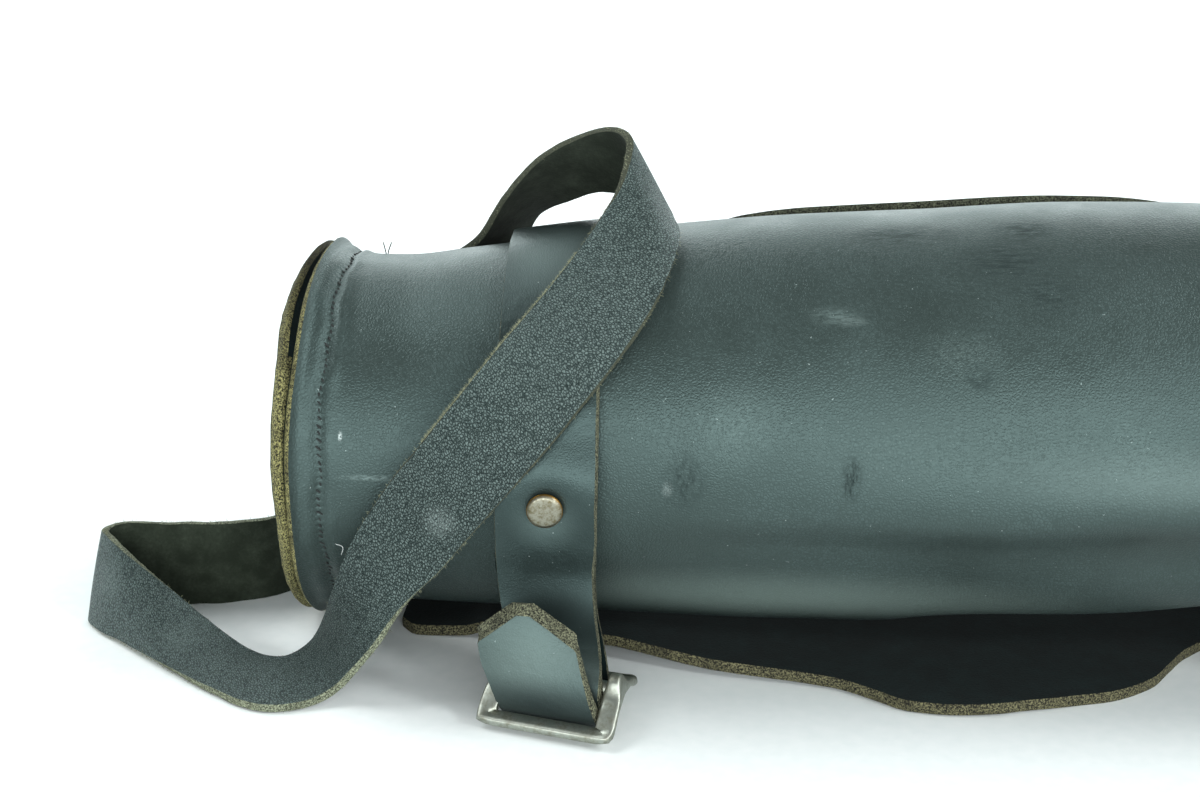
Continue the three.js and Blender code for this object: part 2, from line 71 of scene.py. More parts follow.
# Columns: place along the bag, outside radius, height of the centre line
END_SECTIONS = np.array([
    (-177, 51.2, 51.25),
    (-175.8, 49.7, 51.25),
    (-173.5, 48.4, 51.25),
    (-170, 47.6, 51.25),
    (-165, 47.0, 51.25),
    (-157, 47.1, 51.25),
    (-140, 48.5, 52.2),
    (-116, 50.4, 53.7),
])
MIDDLE_SECTIONS = np.array([
    (-90, 52.6, 55.0),
    (-60, 54.4, 56.4),
    (-20, 55.6, 57.8),
    (20, 56.9, 59.2),
    (50, 57.0, 59.4),
    (80, 54.8, 57.2),
])
BAG_SECTIONS = np.vstack([END_SECTIONS, MIDDLE_SECTIONS, END_SECTIONS[::-1] * (-1, 1, 1)])

# Columns: place along the bag, angle, half length, half angle, depth
DENTS = np.array([
    (62, -24, 42, 12, 2.6),
    (78, -62, 36, 24, 7.0),
])

# Columns: place along the bag, angle of the flap's upper edge
FLAP_UPPER_EDGE = np.array([
    (-157, 142),
    (-150, 137),
    (-100, 134),
    (-80, 128),
    (-66, 119),
    (-48, 114.5),
    (-9, 113),
    (30, 114.5),
    (48, 119),
    (62, 128),
    (82, 134),
    (150, 137),
    (157, 142),
])

# Columns: place along the bag, front edge of the flap, height of its underside
FLAP_FRONT_EDGE = np.array([
    (-157, -20, 0),
    (-153, -24.6, 0),
    (-140, -26, 0.6),
    (-131, -29, 3.6),
    (-101, -36, 3.6),
    (-73, -44.5, 1.2),
    (-44, -49.5, 0),
    (-33, -55.5, 0),
    (-25, -60.5, 0),
    (-12, -62, 0),
    (8, -57.5, 0),
    (28, -51, 0),
    (39, -44, 0),
    (46, -35, 0),
    (53, -26, 0),
    (62, -20, 0.4),
    (101, -18, 3.6),
    (131, -18, 3.6),
    (140, -17.5, 0),
    (152, -15, 0),
    (157, -9, 0),
])

# Closing strap from its turned-back end to its tip. On the bag a row is (angle, lift); off it a
# row is (inwards from the strap's place, y, z, yaw, share of the full width).
ON_BAG = GAP + 1.5
ON_LAYER = 2 * GAP + 4.5
STRAP_ROUTE = [
    (1, ON_BAG),
    (RIVET_ANGLE, ON_BAG),
    (-14, ON_BAG),
    (0.0, -49.3, 31, -4, 1),
    (1.2, -50.6, 21.5, -9, 0.97),
    (4.4, -57.4, 13.0, -15, 0.93),
    (5.5, -63.2, 6.5, BUCKLE_YAW, 0.93),
    (4.6, -66.6, 5.4, BUCKLE_YAW, 0.93),
    (3.8, -69.6, 7.2, BUCKLE_YAW, 0.93),
    (3.6, -70.2, 10.3, BUCKLE_YAW, 0.93),
    (3.7, -68.6, 12.8, BUCKLE_YAW, 0.93),
    (2.7, -61.6, 16.0, -13, 0.95),
    (0.9, -54.7, 22.6, -8, 0.96),
    (0, -52.9, 31, -4, 0.97),
    (-14, ON_LAYER),
    (RIVET_ANGLE, ON_LAYER),
    (3, ON_LAYER - 0.6),
    (14, ON_BAG + 0.5),
    *[(angle, ON_BAG) for angle in (28, 55, 82, 106)],
    (118, ON_BAG + 1.2),
    *[(angle, ON_LAYER) for angle in (129, 165, 192, 219, 245)],
    (0, 18, 1.7, 0, 1),
    (0, 10, 1.55, 0, 1),
    (0, -20, 1.55, 0, 1),
    (1.2, -42, 1.55, -7, 1),
    (3.2, -62, 1.55, -15, 1),
    (3.1, -70.2, 2.2, BUCKLE_YAW, 1),
    (2.1, -73.6, 5.2, BUCKLE_YAW, 1.02),
    (0.4, -74.1, 10, -15.5, 1.02),
    (-2.1, -72.3, 17, -11, 1.02),
    (-3.6, -70.2, 24, -6, 0.97),
    (-4.6, -68.2, 30.4, -3, 0.95),
]
STRAP_ARC_STEP = 12.0

# Columns: the carry strap's two cut edges, x y z and x y z
CARRY_ROUTE = np.array([
    (-156, 52, 44, -132, 54, 44),
    (-156, 50.4, 65, -132, 52.6, 67),
    (-154, 41.6, 84, -131, 44, 87),
    (-139, 22, 100, -126, 41, 101),
    (-132, 16, 112, -122, 34, 106),
    (-122, 10, 124, -115, 27, 110),
    (-110, 4, 131.5, -106, 20, 114),
    (-102, -2, 134, -96, 12, 114),
    (-98, -9, 132.5, -88.5, 3, 112.5),
    (-98.5, -15, 127, -86.5, -5, 111),
    (-100.5, -19.5, 121, -85, -14, 109),
    (-105, -24, 114.5, -86.5, -26, 104),
    (-113, -32, 103.5, -92.5, -41.5, 94),
    (-127, -45.5, 88.5, -111, -55, 71),
    (-142, -53.5, 70.5, -127.5, -59, 51.5),
    (-154, -54.5, 55, -141, -57.5, 34.5),
    (-163.5, -51.5, 39, -151, -59, 24),
    (-170, -46, 22.5, -156, -62.5, 17),
    (-174, -42.5, 11, -162.5, -63.5, 9),
    (-177, -42.5, 6, -167, -64.5, 4.2),
    (-180.5, -44, 3.4, -171.5, -66.5, 2),
    (-184, -46, 2.6, -177, -69, 1.3),
    (-188.5, -46.5, 3, -184.5, -70, 1.3),
    (-193.5, -45, 4, -191, -67.5, 1.3),
    (-200.5, -41, 6.5, -198, -62.5, 1.3),
    (-211, -34, 11, -207.5, -55, 1.2),
    (-222.5, -27.5, 17, -219.5, -44.5, 1.1),
    (-231, -23, 21.5, -230, -35, 0.8),
    (-236, -18.5, 23.5, -238, -28, 0.5),
    (-239, -14, 24, -242.5, -20.5, 0.3),
    (-235.5, -10, 24.4, -238, -13.5, 0.25),
    (-221, -9.5, 24.5, -221, -9.5, 0.25),
    (-206, -8, 24.5, -206, -6.5, 0.25),
    (-195, -3, 24.5, -194.5, 0, 0.25),
    (-188.5, 8, 24.5, -188.5, 10, 0.25),
    (-187, 24, 24.5, -187, 25, 0.25),
    (-184.5, 40, 24.5, -184.5, 40, 0.25),
    (-175, 52, 24.5, -175, 52, 0.25),
    (-158, 58.5, 24.5, -158, 58.5, 0.25),
    (-125, 61, 24.5, -125, 61, 0.25),
    (-55, 62.5, 24.5, -55, 62.5, 0.25),
    (20, 63, 24.5, 20, 63, 0.25),
    (65, 63, 27, 67, 63, 2.7),
    (103, 61.5, 43, 108, 61.5, 19),
    (127, 60.5, 57, 131, 60.5, 33),
    (141, 55.4, 62, 143, 55.4, 38),
    (157, 54.2, 64, 157, 54.2, 40),
])

GRAIN, FLESH, EDGE, DARK_EDGE = 0, 1, 2, 3
SIDES = ((-1, "left"), (1, "right"))


# Shapes

def unit(vectors):
    """Each vector divided by its length."""
    return vectors / np.linalg.norm(vectors, axis=-1, keepdims=True)


def ease(value, low, high):
    """Smoothstep: 0 below low, 1 above high, 3t2 - 2t3 between."""
    t = np.clip((value - low) / (high - low), 0, 1)
    return t * t * (3 - 2 * t)


def between(value, start, full, fall, end):
    """1 from full to fall, eased to 0 at start and end."""
    return ease(value, start, full) * (1 - ease(value, fall, end))


def bell(value, centre, width):
    """Bell curve: 1 at its centre, 1/e a width away from it."""
    return np.exp(-(((value - centre) / width) ** 2))


def circle(count):
    """Equal steps round a circle, in radians."""
    return np.linspace(0, 2 * np.pi, count, endpoint=False)


def squared(angle, power):
    """Cosine and sine with their sizes raised to a power, which squares up a circle."""
    return [np.sign(f) * np.abs(f) ** power for f in (np.cos(angle), np.sin(angle))]


def cross_axes(along, hint):
    """Two directions square to a line and to each other."""
    aside = unit(np.cross(along, hint))
    return aside, np.cross(along, aside)


def smooth_column(table, column, x):
    """A cubic between the rows of a table, whose slope at a row is the harmonic mean of its chords."""
    places, values = table[:, 0], table[:, column]
    chord = np.diff(values) / np.diff(places)
    product = chord[:-1] * chord[1:]
    total = np.where(product > 0, chord[:-1] + chord[1:], 1)
    slope = np.concatenate([chord[:1], np.where(product > 0, 2 * product / total, 0), chord[-1:]])
    x = np.clip(x, places[0], places[-1])
    i = np.clip(np.searchsorted(places, x) - 1, 0, len(places) - 2)
    span = places[i + 1] - places[i]
    t = (x - places[i]) / span
    rise = t * t * (3 - 2 * t) * (values[i + 1] - values[i])
    return values[i] + rise + t * (1 - t) ** 2 * span * slope[i] + t * t * (t - 1) * span * slope[i + 1]


def soft_noise(points, size, seed):
    """Random numbers on a lattice of cubes, blended by smoothstep along each axis; from -1 to 1."""
    lattice = np.random.default_rng(seed).uniform(-1, 1, 4096)
    cell = np.floor(points / size).astype(np.int64)
    part = points / size - cell
    part = part * part * (3 - 2 * part)
    total = np.zeros(points.shape[:-1])
    for corner in np.ndindex(2, 2, 2):
        c = cell + np.array(corner)
        key = (c[..., 0] * 73856093 ^ c[..., 1] * 19349663 ^ c[..., 2] * 83492791) & 4095
        total += lattice[key] * np.prod(np.where(corner, part, 1 - part), axis=-1)
    return total


def flowing_line(points, steps):
    """Centripetal Catmull-Rom: a cubic for each span, with slopes weighted by the roots of its chords."""
    points = np.asarray(points, float)
    ends = np.vstack([2 * points[:1] - points[1:2], points, 2 * points[-1:] - points[-2:-1]])
    root = np.sqrt(np.linalg.norm(np.diff(ends, axis=0), axis=1))[:, None]
    p0, p1, p2, p3 = ends[:-3], ends[1:-2], ends[2:-1], ends[3:]
    d0, d1, d2 = root[:-2], root[1:-1], root[2:]
    m1 = ((p1 - p0) / d0 - (p2 - p0) / (d0 + d1) + (p2 - p1) / d1) * d1
    m2 = ((p2 - p1) / d1 - (p3 - p1) / (d1 + d2) + (p3 - p2) / d2) * d1
    t = (np.arange(steps) / steps)[None, :, None]
    p1, p2, m1, m2 = (a[:, None, :] for a in (p1, p2, m1, m2))
    curve = p1 + t * m1 + t**2 * (3 * (p2 - p1) - 2 * m1 - m2) + t**3 * (2 * (p1 - p2) + m1 + m2)
    return np.vstack([curve.reshape(-1, 3), points[-1:]])


def bag_radius(x):
    """Outside radius of the tube at a place along it."""
    return smooth_column(BAG_SECTIONS, 1, x)


def bag_height(x):
    """Height of the tube's centre line at a place along it."""
    return smooth_column(BAG_SECTIONS, 2, x)


def dent_depth(x, angle):
    """Sum of bell curves, one for each dent."""
    along = (np.asarray(x)[..., None] - DENTS[:, 0]) / DENTS[:, 2]
    around = (np.asarray(angle)[..., None] - DENTS[:, 1]) / DENTS[:, 3]
    return (DENTS[:, 4] * np.exp(-along**2 - around**2)).sum(-1)


def round_bag(x, angle, radius):
    """The point at an angle and a radius from the bag's centre line."""
    x, angle, radius = np.broadcast_arrays(x, angle, radius)
    a = np.radians(angle)
    return np.stack([x, -radius * np.cos(a), bag_height(x) + radius * np.sin(a)], -1)


def on_bag(x, angle, lift):
    """The point that stands a lift above the bag's leather."""
    return round_bag(x, angle, bag_radius(x) - dent_depth(x, angle) + lift)


def profile_inside(x, depth):
    """The tube's profile moved inwards, square to the leather: place along and radius."""
    slope = (bag_radius(x + 0.2) - bag_radius(x - 0.2)) / 0.4
    size = np.hypot(1, slope)
    return x + depth * slope / size, bag_radius(x) - depth / size


def grid_faces(rows, columns, start=0, wrap=False, ring=False):
    """Quads over a grid of points, whose columns close up if it wraps and whose rows do in a ring."""
    index = start + np.arange(rows * columns).reshape(rows, columns)
    if wrap:
        index = np.hstack([index, index[:, :1]])
    if ring:
        index = np.vstack([index, index[:1]])
    corners = index[:-1, :-1], index[1:, :-1], index[1:, 1:], index[:-1, 1:]
    return np.stack(corners, -1).reshape(-1, 4)


def leather_sheet(outer, inner, bulge, ragged, seed):
    """Two grids, the leather's faces, and a rounded band of cut edge between their borders."""
    rows, columns = outer.shape[:2]
    count = rows * columns
    index = np.arange(count).reshape(rows, columns)
    border = np.concatenate([index[0], index[1:, -1], index[-1, -2::-1], index[-2:0:-1, 0]])
    i, j = np.divmod(border, columns)
    inward = np.clip(i, 1, rows - 2) * columns + np.clip(j, 1, columns - 2)
    top, under = outer.reshape(-1, 3), inner.reshape(-1, 3)
    outward = unit(top[border] - top[inward])
    shares = np.array([0.1, 0.35, 0.65, 0.9])[:, None, None]
    band = top[border] * (1 - shares) + under[border] * shares
    rough = ragged * (soft_noise(band, 2.2, seed) + 0.6 * soft_noise(band, 0.8, seed + 1))
    band = band + outward * (4 * bulge * shares * (1 - shares) + rough[..., None])
    loops = np.vstack([border, 2 * count + np.arange(4 * len(border)).reshape(4, -1), border + count])
    loops = np.hstack([loops, loops[:, :1]])
    wall = np.stack([loops[:-1, :-1], loops[:-1, 1:], loops[1:, 1:], loops[1:, :-1]], -1).reshape(-1, 4)
    face = grid_faces(rows, columns)
    quads = np.vstack([face, face[:, ::-1] + count, wall])
    finish = np.repeat([GRAIN, FLESH, EDGE], [len(face), len(face), len(wall)])
    return np.vstack([top, under, band.reshape(-1, 3)]), quads.tolist(), finish


def leather_strip(edge_a, edge_b, thickness, across, grain_side, width, face, crown, ragged, seed):
    """A closed section carried along two edge curves: grain above, flesh below, a cut edge each side.
    Width is the share of the strip's width at each row, face the share that its grain side keeps."""
    middle = (edge_a + edge_b) / 2
    half = (edge_b - edge_a) / 2 * width[:, None]
    reach = unit(edge_b - edge_a)
    normal = grain_side * unit(np.cross(np.gradient(middle, axis=0), reach))
    span = -0.5 * np.cos(np.linspace(0, np.pi, across)) + 0.5 * np.linspace(-1, 1, across)
    arch = crown * (1 - span**2)
    wall = np.array([0.36, 0.13, -0.13, -0.36]) * thickness
    slant = np.array([0.86, 0.63, 0.37, 0.14])
    height = np.concatenate([thickness / 2 + arch, wall, arch[::-1] - thickness / 2, wall[::-1]])
    lean = np.concatenate([np.ones(across), slant, np.zeros(across), slant[::-1]])
    proud = np.concatenate([np.zeros(across), [0.10, 0.16, 0.16, 0.10]] * 2)
    place = np.concatenate([span, np.ones(4), span[::-1], -np.ones(4)])
    side = np.sign(place) * (np.abs(place) > 0.999)
    cut_back = (1 - np.minimum(face / width, 1))[:, None]
    place = place * (1 - cut_back * lean)
    points = middle[:, None] + half[:, None] * place[..., None] + normal[:, None] * height[:, None]
    slow = ragged * (soft_noise(points, 7.0, seed) + 0.7 * soft_noise(points, 1.6, seed + 1))
    lumps = 3 * ragged * soft_noise(points, 1.3, seed + 2) * cut_back * (lean > 0) * (lean < 1)
    points = points + reach[:, None] * (side * (proud + slow))[..., None] + normal[:, None] * lumps[..., None]
    rows, columns = points.shape[:2]
    length = np.concatenate([[0], np.cumsum(np.linalg.norm(np.diff(middle, axis=0), axis=1))])
    uv = np.stack(np.broadcast_arrays(length[:, None], place * np.linalg.norm(half, axis=1)[:, None]), -1)
    faces = grid_faces(rows, columns, wrap=True)
    kind = np.repeat([GRAIN, EDGE, FLESH, EDGE], [across - 1, 5, across - 1, 5])
    kinds = np.where((cut_back[1:] > 0.85) & (kind == GRAIN), EDGE, kind)
    finish = np.concatenate([kinds.ravel(), [EDGE, EDGE]])
    ends = [list(range(columns))[::-1], list(range((rows - 1) * columns, rows * columns))]
    return points.reshape(-1, 3), faces.tolist() + ends, finish, uv.reshape(-1, 2) / UV_MM


def turned(radius, height, columns):
    """A profile of radius and height turned about its axis; it starts and ends on the axis.
    Gives points as (radius, angle, height) and the faces, with a fan at each pole."""
    ring = np.stack(np.broadcast_arrays(radius[1:-1, None], circle(columns), height[1:-1, None]), -1)
    rows = len(radius) - 2
    points = np.vstack([[0, 0, height[0]], ring.reshape(-1, 3), [0, 0, height[-1]]])
    first = 1 + np.arange(columns)
    last = 1 + (rows - 1) * columns + np.arange(columns)
    fan = np.stack([np.zeros(columns, int), first, np.roll(first, -1)], -1)
    cap = np.stack([np.full(columns, len(points) - 1), np.roll(last, -1), last], -1)
    return points, fan.tolist() + grid_faces(rows, columns, 1, True).tolist() + cap.tolist()


def tubes(paths, radius, sides):
    """Round threads: a circle carried along each path, its ends drawn to a point. Paths are (n, steps, 3)."""
    count, steps = paths.shape[:2]
    along = unit(np.gradient(paths, axis=1))
    aside, upward = cross_axes(along, [0.31, 0.52, 0.79])
    a = circle(sides)[:, None]
    taper = np.sqrt(np.maximum(0.02, 1 - np.linspace(-1, 1, steps) ** 6))[:, None, None]
    ring = np.cos(a) * aside[:, :, None] + np.sin(a) * upward[:, :, None]
    points = paths[:, :, None] + radius * taper * ring
    one = grid_faces(steps, sides, 0, True)
    shift = (np.arange(count) * steps * sides)[:, None, None]
    quads = (one + shift).reshape(-1, 4).tolist()
    lid = np.arange(sides)
    lids = [(lid[::-1] + shift[:, 0]).tolist(), (lid + (steps - 1) * sides + shift[:, 0]).tolist()]
    return points.reshape(-1, 3), quads + lids[0] + lids[1]


def spikes(roots, tips, width):
    """Fine fibres: slender pyramids on a triangle, one from each root to its tip."""
    aside, upward = cross_axes(unit(tips - roots), [0.2, 0.5, 0.8])
    turn = circle(3)[:, None]
    base = roots[:, None] + width * (np.cos(turn) * aside[:, None] + np.sin(turn) * upward[:, None])
    points = np.concatenate([base, tips[:, None]], 1).reshape(-1, 3)
    one = np.array([[0, 2, 1], [0, 1, 3], [1, 2, 3], [2, 0, 3]])
    return points, (one + 4 * np.arange(len(roots))[:, None, None]).reshape(-1, 3).tolist()


def set_up(points, centre, outward):
    """Points of a turned shape, (radius, angle, height), stood on a centre along a direction."""
    outward = unit(np.asarray(outward, float))
    aside, upward = cross_axes(outward, [1.0, 0.03, 0.02])
    radius, angle, height = points[:, :1], points[:, 1:2], points[:, 2:]
    return centre + radius * (np.cos(angle) * aside + np.sin(angle) * upward) + height * outward


def make_piece(name, shape, finish, finishes, stands_for=(), uv=None, worn=None):
    """Puts points and faces into a mesh in metres, facing out, and ties the piece to the frame."""
    points, faces = shape
    mesh = bpy.data.meshes.new(name)
    mesh.from_pydata((np.asarray(points) * MM).tolist(), [], faces)
    mesh.calc_loop_triangles()
    corner = np.empty(len(mesh.loop_triangles) * 3, np.int32)
    mesh.loop_triangles.foreach_get("vertices", corner)
    a, b, c = np.moveaxis(points[corner.reshape(-1, 3)], 1, 0)
    if np.einsum("ij,ij->", a, np.cross(b, c)) < 0:
        mesh.flip_normals()
    for key in finishes:
        mesh.materials.append(finish_of(key))
    mesh.polygons.foreach_set("material_index", np.broadcast_to(finish, len(faces)).astype(np.int32))
    mesh.shade_smooth()
    mesh.set_sharp_from_angle(angle=math.radians(SHARP_ANGLE))
    if uv is not None:
        loops = np.empty(len(mesh.loops), np.int32)
        mesh.loops.foreach_get("vertex_index", loops)
        layer = mesh.uv_layers.new(name="along_and_across")
        layer.data.foreach_set("uv", uv[loops].astype(np.float32).ravel())
    if worn is not None:
        mesh.attributes.new("worn", "FLOAT", "POINT").data.foreach_set("value", worn.astype(np.float32))
    if mesh.validate():
        raise RuntimeError(f"{name}: its mesh had faults")
    piece = bpy.data.objects.new(name, mesh)
    bpy.context.scene.collection.objects.link(piece)
    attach(piece, "root")
    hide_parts(*stands_for)
    return piece


# Materials

def linear(code):
    """An sRGB hex colour as linear red, green, blue and full alpha."""
    srgb = [int(code[i:i + 2], 16) / 255 for i in (1, 3, 5)]
    return (*[c / 12.92 if c <= 0.04045 else ((c + 0.055) / 1.055) ** 2.4 for c in srgb], 1.0)


def connect(tree, node, links):
    """Gives each named input of a node a value or another node's output."""
    for key, value in links.items():
        if isinstance(value, bpy.types.NodeSocket):
            tree.links.new(value, node.inputs[key])
        else:
            node.inputs[key].default_value = value


def add(tree, kind, links=None, **settings):
    """Adds a node with its settings, and connects its inputs."""
    made = tree.nodes.new(kind)
    for key, value in settings.items():
        setattr(made, key, value)
    connect(tree, made, links or {})
    return made


def begin(name):
    """A material, its tree and its coordinates."""
    made = bpy.data.materials.new(name)
    made.use_nodes = True
    return made, made.node_tree, add(made.node_tree, "ShaderNodeTexCoord").outputs


def finished(made, **sockets):
    """The material, with values and outputs on its shader's own sockets."""
    tree = made.node_tree
    links = {key.replace("_", " "): value for key, value in sockets.items()}
    connect(tree, tree.nodes["Principled BSDF"], links)
    return made


def per_metre(size_mm):
    """Texture scale whose features are about that wide."""
    return 1.0 / (size_mm * MM)


def calc(tree, operation, *values):
    """A Math node; each value is a number or an output."""
    return add(tree, "ShaderNodeMath", dict(enumerate(values)), operation=operation).outputs[0]


def vector_calc(tree, operation, *values):
    """A Vector Math node, which gives a number for a length and else a vector."""
    made = add(tree, "ShaderNodeVectorMath", dict(enumerate(values)), operation=operation)
    return made.outputs["Value" if operation == "LENGTH" else 0]


def remap(tree, value, low, high, to_low=0.0, to_high=1.0, curve="LINEAR"):
    """A value carried from one range to another, and kept inside it."""
    links = {0: value, 1: low, 2: high, 3: to_low, 4: to_high}
    return add(tree, "ShaderNodeMapRange", links, interpolation_type=curve).outputs[0]


def noise(tree, place, scale, detail, roughness=0.5, output=0):
    """Fractal noise, as a number or by its Color output as a vector."""
    links = {"Vector": place, "Scale": scale, "Detail": detail, "Roughness": roughness}
    return add(tree, "ShaderNodeTexNoise", links).outputs[output]


def bump(tree, height, depth_mm, strength):
    """The surface's direction, bent by a height whose full step is a depth."""
    links = {"Strength": strength, "Distance": depth_mm * MM, "Height": height}
    return add(tree, "ShaderNodeBump", links).outputs[0]


def blend(tree, share, below, above):
    """One colour laid over another by a share."""
    return add(tree, "ShaderNodeMix", {0: share, 6: below, 7: above}, data_type="RGBA").outputs[2]


def wear_or_painted_light_mark(tree, place, below, gloss, centre, reach, tone, amount, rough, grit):
    """A tone and gloss inside a soft ellipsoid, for wear or painted light and shade, broken up by noise if
    its specks have a size.
    """
    away = vector_calc(tree, "SUBTRACT", place, [c * MM for c in centre])
    share = vector_calc(tree, "MULTIPLY", away, [per_metre(r) for r in reach])
    inside = remap(tree, vector_calc(tree, "LENGTH", share), 1.0, 0.0, 0.0, amount, "SMOOTHSTEP")
    if grit:
        stretched = vector_calc(tree, "MULTIPLY", place, [per_metre(g) for g in grit])
        specks = remap(tree, noise(tree, stretched, 1.0, 4.0, 0.65), 0.38, 0.6)
        inside = calc(tree, "MULTIPLY", inside, specks)
    worn = add(tree, "ShaderNodeMix", {0: inside, 2: gloss, 3: rough}).outputs[0]
    return blend(tree, inside, below, linear(tone)), worn


def pebbles(tree, place, scale, crease):
    """Plateaus between creases: distance to the nearest border of cells that noise has shaken."""
    shake = noise(tree, place, 0.6 * scale, 2.0, output="Color")
    bent = vector_calc(tree, "MULTIPLY_ADD", shake, [0.9 / scale] * 3, place)
    cell = add(tree, "ShaderNodeTexVoronoi", {"Vector": bent, "Scale": scale}, feature="DISTANCE_TO_EDGE")
    return remap(tree, cell.outputs[0], 0.0, crease, curve="SMOOTHSTEP")


# Sheen of the cool waxed dye
COOL_GLOSS = linear("#d8fffd")

# Scuffs, dust and scratches on the body, and at the end two marks of painted light
# Columns: centre, reach, tone, amount, roughness, size of the specks along x, y and z, or None for an
# unbroken mark
BODY_MARKS_AND_PAINTED_LIGHT = [
    ((-46.9, -40.4, 95.6), (9, 8, 3), "#8fa29f", 0.2, 0.5, (2.2, 0.6, 0.5)),
    ((-43.0, -41.5, 94.5), (6, 6, 1.6), "#a3b4b1", 0.16, 0.5, (3.0, 0.5, 0.4)),
    ((-71.0, -53.0, 72.0), (13, 9, 17), "#758784", 0.2, 0.45, (0.8, 0.8, 0.8)),
    ((-16.0, -46.0, 88.0), (14, 9, 9), "#71827f", 0.18, 0.45, (0.8, 0.8, 0.8)),
    ((-30.0, -54.0, 66.0), (34, 8, 14), "#6c7d7a", 0.12, 0.42, (0.7, 0.7, 0.7)),
    ((20.0, -54.0, 70.0), (30, 8, 14), "#6c7d7a", 0.12, 0.42, (0.7, 0.7, 0.7)),
    ((-82.5, -55.5, 56.5), (8, 8, 12), "#040707", 0.9, 0.9, (1.1, 1.1, 2.6)),
    ((-86.5, -55.5, 54.5), (2.4, 5, 3.4), "#c9d5d3", 0.4, 0.4, (0.3, 0.4, 0.4)),
    ((-42.3, -55.5, 59.3), (3.4, 6, 8), "#040707", 1.0, 0.95, (1.2, 1.5, 3.0)),
    ((-4.4, -26.8, 106.1), (17, 12, 11), "#050808", 0.85, 0.85, (6.0, 1.0, 0.9)),
    ((-29, -15.7, 110.7), (22, 9, 6), "#070b0a", 0.6, 0.8, (5.0, 1.1, 1.0)),
    ((5.3, -35.9, 99.8), (15, 10, 10), "#060908", 0.8, 0.85, (5.0, 0.8, 0.7)),
    ((2.0, -16.0, 112.0), (12, 8, 6), "#060a09", 0.8, 0.85, (4.0, 1.0, 0.9)),
    ((-12.2, -48.9, 83.8), (6, 6, 5), "#050808", 1.0, 0.9, (2.4, 2.4, 2.4)),
    ((-167.4, -45.9, 63.7), (0.7, 3, 1.7), "#dfe9e8", 0.8, 0.5, (0.5, 0.6, 0.5)),
    ((-159.0, -47.4, 53.5), (12, 4, 1.2), "#8a9b99", 0.45, 0.5, (1.2, 0.4, 0.4)),
    # Painted reflection of the pale floor: lighter low along the front
    ((-55.0, -45.0, 17.0), (100, 22, 17), "#66746f", 0.8, 0.45, None),
    # Painted highlight over the swell on the right of the front
    ((34.0, -59.0, 62.0), (60, 14, 11), "#74827f", 0.2, 0.4, None),
]

# The same on both closing straps, all painted light: a painted highlight on the tip, painted shade in the
# hollow behind it, a painted highlight below the rivet, painted shade along the buckle's bar, a painted
# highlight on the top
STRAP_PAINTED_LIGHT = [((side * x, y, z), *rest) for side in (-1, 1) for x, y, z, *rest in (
    (117.5, -73.0, 17.0, (30, 13, 26), "#66736f", 0.48, 0.42, None),
    (113.0, -56.0, 21.0, (20, 10, 14), "#080b0b", 0.95, 0.9, None),
    (116.0, -57.0, 46.5, (11, 9, 9), "#5f6e6c", 0.3, 0.28, None),
    (113.5, -75.5, 7.0, (60, 10, 9), "#0f1111", 0.95, 0.7, None),
    (117.0, -24.0, 112.0, (20, 30, 18), "#5f6d6b", 0.9, 0.5, None),
)]

# Columns as for the body's marks
CARRY_MARKS = [
    ((-141.5, -57, 46.5), (6, 9, 6), "#b4c2bf", 0.42, 0.6, (0.7, 0.7, 0.5)),
    ((-235, -26, 14), (7, 7, 9), "#8f9d9a", 0.4, 0.55, (0.7, 0.7, 0.7)),
    ((-211, -44, 7), (9, 9, 5), "#84938f", 0.35, 0.55, (0.7, 0.7, 0.7)),
]


def smooth_leather(name, dark, light, rough, grain_mm, grain_depth, marks=()):
    """Veg-tanned cowhide, dyed black, pressed smooth and waxed: cool satin, a fine grain, pale scuffs.
    Where a sewn seam runs, its UV counts stitches and millimetres from the seam, and it puckers."""
    made, tree, coords = begin(name)
    place = coords["Object"]
    cloud = noise(tree, place, per_metre(30), 6.0, 0.62)
    colour = blend(tree, remap(tree, cloud, 0.32, 0.68), linear(dark), linear(light))
    grain = pebbles(tree, place, per_metre(grain_mm), 0.3)
    colour = blend(tree, grain, linear(dark), colour)
    flecks = remap(tree, noise(tree, place, per_metre(0.8), 2.0), 0.75, 0.78, 0.0, 0.45)
    colour = blend(tree, flecks, colour, linear("#b4c2c0"))
    gloss = remap(tree, cloud, 0.3, 0.7, rough - 0.08, rough + 0.1)
    # Marks of wear, and of painted highlight and shade
    for mark in marks:
        colour, gloss = wear_or_painted_light_mark(tree, place, colour, gloss, *mark)
    crinkle = noise(tree, place, per_metre(grain_mm * 3), 5.0)
    seam = add(tree, "ShaderNodeSeparateXYZ", {0: coords["UV"]}).outputs
    pucker = calc(tree, "COSINE", calc(tree, "MULTIPLY", seam[0], 2 * math.pi))
    near = remap(tree, calc(tree, "ABSOLUTE", seam[1]), 1.3, 0.1, 0.0, -0.2, "SMOOTHSTEP")
    drawn = calc(tree, "MULTIPLY", pucker, calc(tree, "MULTIPLY", near, crinkle))
    height = calc(tree, "MULTIPLY_ADD", calc(tree, "ADD", grain, crinkle), grain_depth, drawn)
    return finished(made, Base_Color=colour, Roughness=gloss, Specular_Tint=COOL_GLOSS,
                    Normal=bump(tree, height, 1.0, 0.7))


